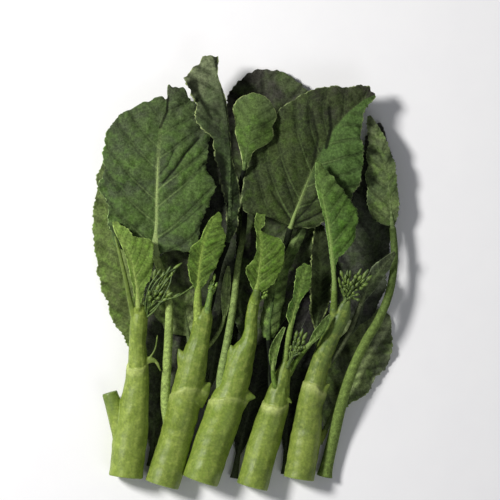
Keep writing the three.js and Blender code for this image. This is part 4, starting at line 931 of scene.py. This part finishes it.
def build_leaf(name, leaf, look, order):
    blade = Blade(leaf, look, order)
    veins = vein_distance(blade)
    teeth, ruffle = ragged_margin(blade)
    shape_margin(blade, teeth)
    lift_surface(blade, veins, ruffle, crease_depth(blade))
    paint_hollow_shade(blade)
    normals = sheet_normals(blade.points)
    parts = [blade_parts(blade, normals, veins), rib_parts(leaf, blade, normals)]
    vertices, faces, marks = join_parts(parts)
    vertices[:, 2] = np.maximum(vertices[:, 2], 0.02)
    return new_object(name + "_fine", vertices, faces, marks)


def from_collection(items, key, width, kind):
    """One value of each item, as rows of the given width."""
    values = np.empty(len(items) * width, kind)
    items.foreach_get(key, values)
    return values.reshape(-1, width)


def remeshed(parts):
    """Melts overlapping shoots into one skin and softens the creases between them."""
    vertices, faces, _ = join_parts(parts)
    rough = new_object("rough", vertices, faces, {})
    melt = rough.modifiers.new("melt", "REMESH")
    melt.mode = "VOXEL"
    melt.voxel_size = REMESH * MM
    soften = rough.modifiers.new("soften", "SMOOTH")
    soften.factor = 0.5
    soften.iterations = SOFTEN_ROUNDS
    whole = rough.evaluated_get(bpy.context.evaluated_depsgraph_get())
    done = whole.to_mesh()
    points = from_collection(done.vertices, "co", 3, float)
    normals = from_collection(done.vertices, "normal", 3, float)
    if not np.all(from_collection(done.polygons, "loop_total", 1, np.int32) == 4):
        raise RuntimeError("the remesh gave faces that are not quads")
    faces = from_collection(done.loops, "vertex_index", 1, np.int32).reshape(-1, 4)
    whole.to_mesh_clear()
    bpy.data.objects.remove(rough)
    return points / MM, faces, normals


def nearest_on_run(run, points):
    """For each point: place along the run, distance from its axis, angle about it and way ahead of it."""
    t = np.linspace(0, 1, 500)
    centre, heading, side, up = run.frame_at(t)
    best = np.empty(len(points), int)
    for first in range(0, len(points), BLOCK):
        block = points[first:first + BLOCK, None, :]
        best[first:first + BLOCK] = np.argmin(((block - centre[None, :, :]) ** 2).sum(axis=2), axis=1)
    away = points - centre[best]
    over = np.sum(away * up[best], axis=1)
    beside = np.sum(away * side[best], axis=1)
    ahead = np.sum(away * heading[best], axis=1)
    return t[best], np.hypot(over, beside), np.arctan2(over, beside), ahead


def stem_parts(name, stem, run):
    """The stem, its side growths and the feet of the leaf stalks on it, as closed tubes that overlap."""
    t = np.linspace(0, 1, 90)
    radius = run.radius(t) * (1 - stem["neck_thin"] * smooth(*NECK, t))
    parts = [tube_along(run, t, radius, radius, STEM_SIDES, {})]
    t = np.linspace(0, 1, 24)
    for spur in stem["spurs"]:
        side_run = Run(spur)
        wide = tall = side_run.radius(t)
        if side_run.total < FLAP_REACH:
            wide = wide * (1.62 - 0.95 * t**2)
            tall = tall * (1.15 - 0.7 * t)
        parts.append(tube_along(side_run, t, wide, tall, SPUR_SIDES, {}))
    for leaf in LEAVES.values():
        if leaf["grows_from"] == name:
            stalk = Run(leaf["stalk"] + leaf["rib"])
            thick = leaf["radius"][0]
            reach = min((thick * 1.2 + FOOT_REACH) / stalk.total, 1.0)
            t = np.linspace(0, reach, 16)
            radius = thick * (1.22 - 0.34 * (t / reach))
            parts.append(tube_along(stalk, t, radius, radius, FOOT_SIDES, {}))
    return parts


def leaf_scar(scar, length, angle, total, random):
    """The scar around a stem: how far each point lies from its line, and how far it stands out."""
    mark, turn, arch = scar
    tilt = 4.2 * np.cos(angle - turn) + 0.7 * waves(angle * 9, 0 * angle, random, 12.0)
    tilt = tilt - arch * np.maximum(np.sin(angle), 0)
    offset = length + tilt - mark * total
    strong = 0.35 + 0.65 * smooth(-0.7, 0.9, np.cos(angle - turn - 0.6))
    ledge = np.exp(-np.maximum(-offset, 0) / 6.0) * (1 - smooth(-0.4, 0.9, offset))
    swelling = strong * (0.62 * ledge - 0.22 * bump(offset - 1.2, 0.9))
    away = np.where(offset < 0, -offset, 3.0 * offset + 0.5) + 3.0 * (1 - strong)
    return np.minimum(FAR, away), swelling


def build_stem(name, stem, order):
    random = np.random.RandomState(STEM_SEED + order)
    run = Run(stem["path"])
    points, faces, normals = remeshed(stem_parts(name, stem, run))
    t, out, angle, ahead = nearest_on_run(run, points)
    # shallow lengthwise ridges and a slight unevenness
    length = t * run.total
    ridge = 0.05 * np.cos(7 * angle + 0.4 * np.sin(length / 30)) + 0.03 * np.cos(17 * angle + 1.3)
    lumps = 0.26 * waves(length, angle * 9, random, 26.0) + 0.13 * waves(length, angle * 9, random, 9.0)
    facing = np.sum(normals * run.heading(t), axis=1)
    side_face = 1 - smooth(0.6, 0.9, np.abs(facing))
    ring, swelling = leaf_scar(stem["scar"], length, angle, run.total, random)
    points = points + normals * ((ridge + lumps + swelling) * side_face)[:, None]
    points[:, 2] = np.maximum(points[:, 2], 0.0)
    cut = (ahead < -0.2) | ((t < 0.012) & (facing < -0.5))
    spare = out / np.maximum(run.radius(t), 0.5)
    shoot = smooth(1.15, 1.6, spare) * smooth(0.3, 0.42, t)
    marks = {"along": t, "angle": angle * 9.0, "length": length, "out": out, "ring": ring,
             "cut": cut.astype(float), "shoot": shoot}
    return new_object(name + "_fine", points, faces, marks)


def lcg(seed):
    """The random numbers of the solids, so that the buds that both have are the same."""
    state = seed

    def draw():
        nonlocal state
        state = (state * 16807) % 2147483647
        return state / 2147483647

    return draw


def spray_shoot(points, sides, rows, is_bud):
    """One round shoot. The bud mark runs from 0 to 1 along a closed bud and is 1 on a strand."""
    run = Run(points)
    t = np.linspace(0, 1, rows)
    radius = run.radius(t)
    return tube_along(run, t, radius, radius, sides, {"bud": t if is_bud else 1.0 + 0 * t})


def side_buds(start, base, reach, fat, extra):
    """Small side buds at the foot of a larger one."""
    parts = []
    for _ in range(2):
        turn = extra.uniform(-1, 1, 3) * [1.6, 1.6, 0.9]
        foot = start + (base - start) * extra.uniform(0.5, 0.85)
        head = foot + reach * extra.uniform(0.45, 0.7) + turn
        mid = foot * 0.5 + head * 0.5
        bud = [[*mid, 0.35], [*(0.5 * mid + 0.5 * head), fat * 0.46], [*head, 0.1]]
        parts.append(spray_shoot([[*foot, 0.3], [*mid, 0.34]], 7, 4, False))
        parts.append(spray_shoot(bud, 9, 9, True))
    return parts


def bracts(start, base, tip, extra):
    """Slender bracts that stand off the strand."""
    parts = []
    for _ in range(2):
        foot = start + (base - start) * extra.uniform(0.1, 0.7)
        head = foot + (tip - foot) * extra.uniform(0.35, 0.6) + extra.uniform(-1, 1, 3) * [2.0, 1.6, 0.8]
        low, high = 0.6 * foot + 0.4 * head, 0.2 * foot + 0.8 * head
        parts.append(spray_shoot([[*foot, 0.4], [*low, 0.5], [*high, 0.4], [*head, 0.1]], 8, 9, False))
    return parts


def bud_on_strand(start, tip, draw, extra):
    """A thin strand with a closed bud at its end, and what grows along it."""
    base = np.array([start[k] + (tip[k] - start[k]) * 0.7 + (draw() - 0.5) * 0.8 for k in range(3)])
    fat = 1 + draw() * 0.5
    reach = tip - base
    knot = base - reach * 0.1
    bow = extra.uniform(-1, 1, 3) * [0.7, 0.7, 0.4]
    strand = [[*start, 0.75], [*(0.5 * start + 0.5 * knot + bow), 0.6], [*base, 0.55]]
    bud = [[*(base - reach * 0.06), 0.45]]
    for part, thick in ((0.18, 0.6), (0.45, 0.86), (0.75, 0.66), (0.95, 0.32)):
        bud.append([*(base + reach * part), fat * thick])
    bud.append([*tip, 0.12])
    parts = [spray_shoot(strand, 8, 12, False), spray_shoot(bud, 12, 16, True)]
    return parts + side_buds(start, base, reach, fat, extra) + bracts(start, base, tip, extra)


def long_strand(strand):
    """A long bowed strand with a slim bud at its end."""
    points = [[*point, 0.62 - 0.07 * n] for n, point in enumerate(strand)]
    end, before = np.array(strand[-1], float), np.array(strand[-2], float)
    ahead = (end - before) * 0.45
    bud = [[*(end - 0.2 * ahead), 0.5], [*(end + 0.2 * ahead), 0.95], [*(end + 0.6 * ahead), 0.8],
           [*(end + ahead), 0.15]]
    return [spray_shoot(points, 9, 30, False), spray_shoot(bud, 10, 12, True)]


def build_spray(name, spray):
    draw = lcg(spray["seed"] * 7919)
    extra = np.random.RandomState(spray["seed"])
    root, neck = np.array(spray["root"], float), np.array(spray["neck"], float)
    thick = spray["radius"]
    main = [[*root, thick * 1.1], [*(0.5 * root + 0.5 * neck), thick * 0.9], [*neck, thick * 0.75]]
    parts = [spray_shoot(main, 14, 16, False)]
    for i, tip in enumerate(spray["tips"] + spray["more_tips"]):
        number = draw if i < len(spray["tips"]) else extra.uniform
        start = neck + (root - neck) * 0.5 * (i % 3) / 2
        parts += bud_on_strand(start, np.array(tip, float), number, extra)
    for strand in spray.get("strands", []):
        parts += long_strand(strand)
    vertices, faces, marks = join_parts(parts)
    return new_object(name + "_fine", vertices, faces, marks)


def linear(colour):
    values = []
    for channel in colour:
        c = channel / 255
        values.append(c / 12.92 if c <= 0.04045 else ((c + 0.055) / 1.055) ** 2.4)
    return (*values, 1.0)


def scaled(colour, factor, more=0):
    """A lighter or darker colour."""
    return tuple(min(255, channel * factor + more) for channel in colour)


class Material:
    """A short way to write a node material: each call adds one node or two and gives the output."""

    def __init__(self, name):
        self.material = bpy.data.materials.new(name)
        self.material.use_nodes = True
        self.tree = self.material.node_tree
        self.shader = self.tree.nodes["Principled BSDF"]

    def put(self, socket, value):
        if isinstance(value, bpy.types.NodeSocket):
            self.tree.links.new(value, socket)
        else:
            socket.default_value = value

    def node(self, kind, inputs, output=0, **settings):
        made = self.tree.nodes.new(kind)
        for key, value in settings.items():
            setattr(made, key, value)
        for key, value in inputs.items():
            self.put(made.inputs[key], value)
        return made.outputs[output]

    def mark(self, name):
        return self.node("ShaderNodeAttribute", {}, output=2, attribute_name=name)

    def place(self):
        return self.node("ShaderNodeTexCoord", {}, output=3)

    def math(self, operation, a, b):
        return self.node("ShaderNodeMath", {0: a, 1: b}, operation=operation)

    def times(self, a, b):
        return self.math("MULTIPLY", a, b)

    def step(self, value, low, high, to_low=0.0, to_high=1.0):
        inputs = {"Value": value, "From Min": low, "From Max": high, "To Min": to_low, "To Max": to_high}
        return self.node("ShaderNodeMapRange", inputs, interpolation_type="SMOOTHSTEP")

    def mix(self, factor, a, b, blend="MIX"):
        made = self.tree.nodes.new("ShaderNodeMix")
        made.data_type = "RGBA"
        made.blend_type = blend
        # sockets 0, 6 and 7 and output 2 are the ones for colours
        for socket, value in ((0, factor), (6, a), (7, b)):
            self.put(made.inputs[socket], value)
        return made.outputs[2]

    def paint(self, colour, factor, paint):
        """Covers the colour with a plain one, as far as the factor says."""
        return self.mix(factor, colour, linear(paint))

    def shaded(self, colour, light):
        """The colour times one number."""
        grey = self.node("ShaderNodeCombineColor", {0: light, 1: light, 2: light})
        return self.mix(1.0, colour, grey, "MULTIPLY")

    def noise(self, scale, detail, vector=None, rough=0.55):
        if vector is None:
            vector = self.place()
        inputs = {"Scale": scale, "Detail": detail, "Roughness": rough, "Vector": vector}
        return self.node("ShaderNodeTexNoise", inputs)

    def finish(self, colour, rough, height=None, strength=0.0, distance=0.0):
        self.put(self.shader.inputs["Base Color"], colour)
        self.put(self.shader.inputs["Roughness"], rough)
        if height is not None:
            inputs = {"Height": height, "Strength": strength, "Distance": distance}
            self.put(self.shader.inputs["Normal"], self.node("ShaderNodeBump", inputs))
        return self.material


def leaf_ground(m, look):
    """The blade's colour: two greens in blotches, fresher patches, a tip tint, and a half tint: painted
    light on a lit half, painted shade on a shaded half.
    """
    along = m.mark("along")
    colour = m.mix(m.step(m.blotch, 0.38, 0.64), linear(look["base"]), linear(look["second"]))
    fresh = [min(255, channel * factor) for channel, factor in zip(look["base"], FRESH_TINT)]
    colour = m.paint(colour, m.step(m.patch, 0.46, 0.66, 0.0, look["fresh"]), fresh)
    tint = m.times(m.step(along, 0.5, 1.0), m.step(m.blotch, 0.3, 0.62, 0.3, 0.9))
    colour = m.paint(colour, tint, look["tip"])
    # painted light on a lit half of the blade, painted shade on a shaded half
    if look["half"]:
        low, high, half_light_and_shade_colour, half_from, half_full = look["half"]
        wander = m.times(m.math("SUBTRACT", m.blotch, 0.5), look["half_wander"])
        edge = m.math("ADD", m.mark("half"), wander)
        half_light_and_shade = m.times(m.step(edge, low, high, 0.0, 0.85), m.step(along, half_from, half_full))
        colour = m.paint(colour, half_light_and_shade, half_light_and_shade_colour)
    return colour


def leaf_veins(m, look, colour, web):
    """Pale side veins fading toward the margin, a faint web between them, painted shade in the troughs
    beside them and painted shade along creases and in hollows.
    """
    along, across, vein = m.mark("along"), m.mark("across"), m.mark("vein")
    main = m.times(m.step(vein, 0.15, 0.95, 1.0, 0.0), m.step(across, 0.1, 0.8, 0.6, 0.05))
    main = m.times(main, m.step(along, 0.35, 0.8, 1.0, 0.3))
    # painted shade in the troughs beside the veins
    trough_shade = m.times(m.step(vein, 0.6, 2.4, look["trough_shade"], 0.0), m.step(across, 0.04, 0.25))
    colour = m.paint(colour, trough_shade, scaled(look["second"], 0.5))
    colour = m.paint(colour, m.math("MAXIMUM", main, web), look["vein"])
    # painted shade along creases and in hollows
    return m.paint(colour, m.step(m.mark("painted_shade"), 0.1, 0.8, 0.0, 0.88), scaled(look["second"], 0.34))


def leaf_rib(m, look, colour):
    """The pale rib and the blade close beside it, up to the part of the blade that reach gives."""
    along, reach = m.mark("along"), look["reach"]
    fade = m.step(along, reach * 0.5, reach + 0.1, 1.0, 0.0)
    beside = m.times(m.step(m.mark("out"), 0.5, 2.0, 0.3, 0.0), fade)
    colour = m.paint(colour, beside, look["rib"])
    rib = m.times(m.mark("rib"), m.step(along, reach * 0.45, reach + 0.15, 1.0, 0.12))
    return m.mix(rib, colour, m.mix(m.step(m.fine, 0.35, 0.7), linear(look["rib"]), linear(look["vein"])))


def leaf_stalk(m, look, colour):
    stalk = m.mark("stalk")
    low = look.get("stalk", look["rib"])
    # stalk colours, near black on stalks that run in shade: painted shade
    skin = m.mix(m.step(stalk, *look["stalk_turn"]), linear(look.get("stalk_top", low)), linear(low))
    skin = m.mix(m.step(m.patch, 0.42, 0.66, 0.0, 0.4), skin, m.shaded(skin, 0.56))
    return m.mix(m.step(stalk, 0.3, 0.49), colour, skin)


def leaf_margin(m, look, colour):
    """Painted highlight in a broken line along the margin, and the paler lower face."""
    # painted highlight along the margin, fading where shade is painted
    rim = m.step(m.mark("edge"), 0.05, look["rim_highlight_wide"], look["rim"], 0.0)
    rim = m.times(rim, m.step(m.patch, 0.4, 0.58, 0.1, 1.0))
    rim = m.times(rim, m.step(m.mark("painted_shade"), 0.3, 0.8, 1.0, 0.1))
    colour = m.paint(colour, rim, look.get("rim_highlight_colour", scaled(look["vein"], 1.4, 30)))
    return m.paint(colour, m.times(m.mark("under"), 0.6), scaled(look["base"], 1.12, 16))


def leaf_material(name, look):
    m = Material(name)
    m.blotch = m.noise(60.0, 3.0)
    m.patch = m.noise(170.0, 4.0)
    m.fine = m.noise(560.0, 4.0)
    grain = m.noise(1500.0, 2.0)
    cells = {"Scale": 330.0, "Vector": m.place()}
    web = m.step(m.node("ShaderNodeTexVoronoi", cells, feature="DISTANCE_TO_EDGE"), 0.0, 0.09, 0.16, 0.0)
    colour = leaf_veins(m, look, leaf_ground(m, look), web)
    colour = leaf_margin(m, look, leaf_stalk(m, look, leaf_rib(m, look, colour)))
    colour = m.shaded(colour, m.step(m.fine, 0.28, 0.72, 0.76, 1.44))
    colour = m.shaded(colour, m.step(grain, 0.3, 0.7, 0.78, 1.22))
    height = m.math("ADD", m.step(m.mark("vein"), 0.0, 0.9, 0.0, 0.5), m.times(m.fine, 0.8))
    height = m.math("ADD", height, m.times(web, -0.6))
    height = m.math("ADD", height, m.times(m.patch, 1.5))
    m.put(m.shader.inputs["Specular IOR Level"], look["gloss"])
    return m.finish(colour, m.step(m.fine, 0.2, 0.8, 0.58, 0.78), height, 0.6, 0.0005)


def stem_material(name, low, high, warm):
    m = Material(name)
    ring, out = m.mark("ring"), m.mark("out")
    grain = m.node("ShaderNodeCombineXYZ", {0: m.mark("angle"), 1: m.times(m.mark("length"), 0.07)})
    streak = m.noise(0.8, 4.0, grain, 0.6)
    strand = m.noise(3.4, 3.0, grain, 0.6)
    blotch = m.noise(75.0, 4.0)
    patch = m.noise(260.0, 3.0)
    speck = m.noise(700.0, 3.0)
    colour = m.mix(m.step(m.mark("along"), 0.25, 0.9), linear(low), linear(high))
    colour = m.paint(colour, m.step(streak, 0.4, 0.7, 0.0, 0.4), warm)
    colour = m.paint(colour, m.step(strand, 0.5, 0.75, 0.0, 0.2), STEM_GREEN)
    colour = m.paint(colour, m.step(blotch, 0.44, 0.66, 0.0, 0.5), scaled(high, 0.9))
    colour = m.paint(colour, m.step(patch, 0.46, 0.68, 0.0, 0.5), scaled(warm, 1.1))
    # the pale strip below the leaf scar, partly the stem's paler skin and partly painted highlight, its dark
    # line and the darker side shoots
    scar_pale_and_highlight = m.times(m.step(ring, 0.3, 7.0, 0.85, 0.0), m.step(blotch, 0.3, 0.6, 1.0, 0.45))
    colour = m.paint(colour, scar_pale_and_highlight, SCAR_PALE_AND_HIGHLIGHT)
    colour = m.paint(colour, m.step(ring, 0.0, 0.5, 0.55, 0.0), SCAR_LINE)
    colour = m.paint(colour, m.times(m.mark("shoot"), 0.55), SHOOT_GREEN)
    colour = m.shaded(colour, m.step(speck, 0.28, 0.72, 0.84, 1.2))
    # pale pith with a wet green rim on the cut end
    pith = m.mix(m.step(out, 5.0, 8.6), linear(PITH), linear(PITH_RIM))
    pith = m.paint(pith, m.step(speck, 0.4, 0.7, 0.0, 0.3), PITH_SPECK)
    colour = m.mix(m.mark("cut"), colour, pith)
    height = m.math("ADD", m.times(strand, 0.7), m.times(speck, 0.3))
    m.put(m.shader.inputs["Specular IOR Level"], STEM_GLOSS)
    return m.finish(colour, m.step(streak, 0.3, 0.7, 0.42, 0.56), height, 0.35, 0.0003)


def bud_material(name, light):
    m = Material(name)
    fine = m.noise(900.0, 3.0)
    # light brightens this spray's copy of the bud colours: painted light
    foot, head, pale, deep = (linear(scaled(colour, light)) for colour in BUD_COLOURS)
    colour = m.mix(m.step(m.mark("bud"), 0.5, 1.0, 0.0, 0.8), foot, head)
    colour = m.mix(m.step(fine, 0.45, 0.7, 0.0, 0.5), colour, pale)
    colour = m.mix(m.step(m.noise(240.0, 2.0), 0.46, 0.64, 0.0, 0.7), colour, deep)
    return m.finish(colour, m.step(fine, 0.3, 0.7, 0.42, 0.58), fine, 0.4, 0.0002)


def dress(piece, node, material):
    piece.data.materials.append(material)
    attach(piece, "root")
    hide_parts(node)


def add_camera():
    """Straight above, long lens, the photograph's square."""
    data = bpy.data.cameras.new("camera")
    data.sensor_width = SENSOR
    data.sensor_fit = "HORIZONTAL"
    data.lens = SENSOR * (CAMERA_HEIGHT - FOCUS_HEIGHT) / VIEW_WIDTH
    data.clip_start = 0.1
    data.clip_end = 20
    camera = into_scene("camera", data)
    camera.location = (*(spot_on_plan(*PHOTO_MIDDLE) * MM), CAMERA_HEIGHT)
    bpy.context.scene.camera = camera


def add_floor():
    mesh = bpy.data.meshes.new("floor")
    far = FLOOR_HALF
    mesh.from_pydata([(-far, -far, 0), (far, -far, 0), (far, far, 0), (-far, far, 0)], [], [(0, 1, 2, 3)])
    floor = into_scene("floor", mesh)
    floor.location = (0, 0, FLOOR_LEVEL)
    paper = Material("floor_paper")
    mesh.materials.append(paper.finish(paper.mix(paper.noise(40.0, 3.0), *PAPER), 0.8))


def area_light(name, place, size, power, colour):
    """A round lamp that shines at the middle of the bunch."""
    data = bpy.data.lights.new(name, "AREA")
    data.shape = "DISK"
    data.size = size
    data.energy = power
    data.color = colour
    lamp = into_scene(name, data)
    lamp.location = place
    x, y, z = place
    lamp.rotation_euler = (0, math.atan2(math.hypot(x, y), z), math.atan2(y, x))


def add_world():
    world = bpy.data.worlds.new("studio")
    world.use_nodes = True
    sky = world.node_tree.nodes["Background"]
    sky.inputs["Color"].default_value = SKY_COLOUR
    sky.inputs["Strength"].default_value = SKY_LIGHT
    bpy.context.scene.world = world
    bpy.context.scene.view_settings.view_transform = "Standard"


for order, (name, stem) in enumerate(STEMS.items()):
    piece = build_stem(name, stem, order)
    dress(piece, name, stem_material(name + "_skin", *stem["colours"]))

for order, (name, leaf) in enumerate(LEAVES.items()):
    look = {**PLAIN_LOOK, **LOOKS[name]}
    piece = build_leaf(name, leaf, look, order)
    dress(piece, name, leaf_material(name + "_skin", look))

for name, spray in SPRAYS.items():
    dress(build_spray(name, spray), name, bud_material(name + "_skin", spray["light"]))

add_camera()
add_floor()
for name, lamp in LAMPS.items():
    area_light(name, *lamp)
add_world()
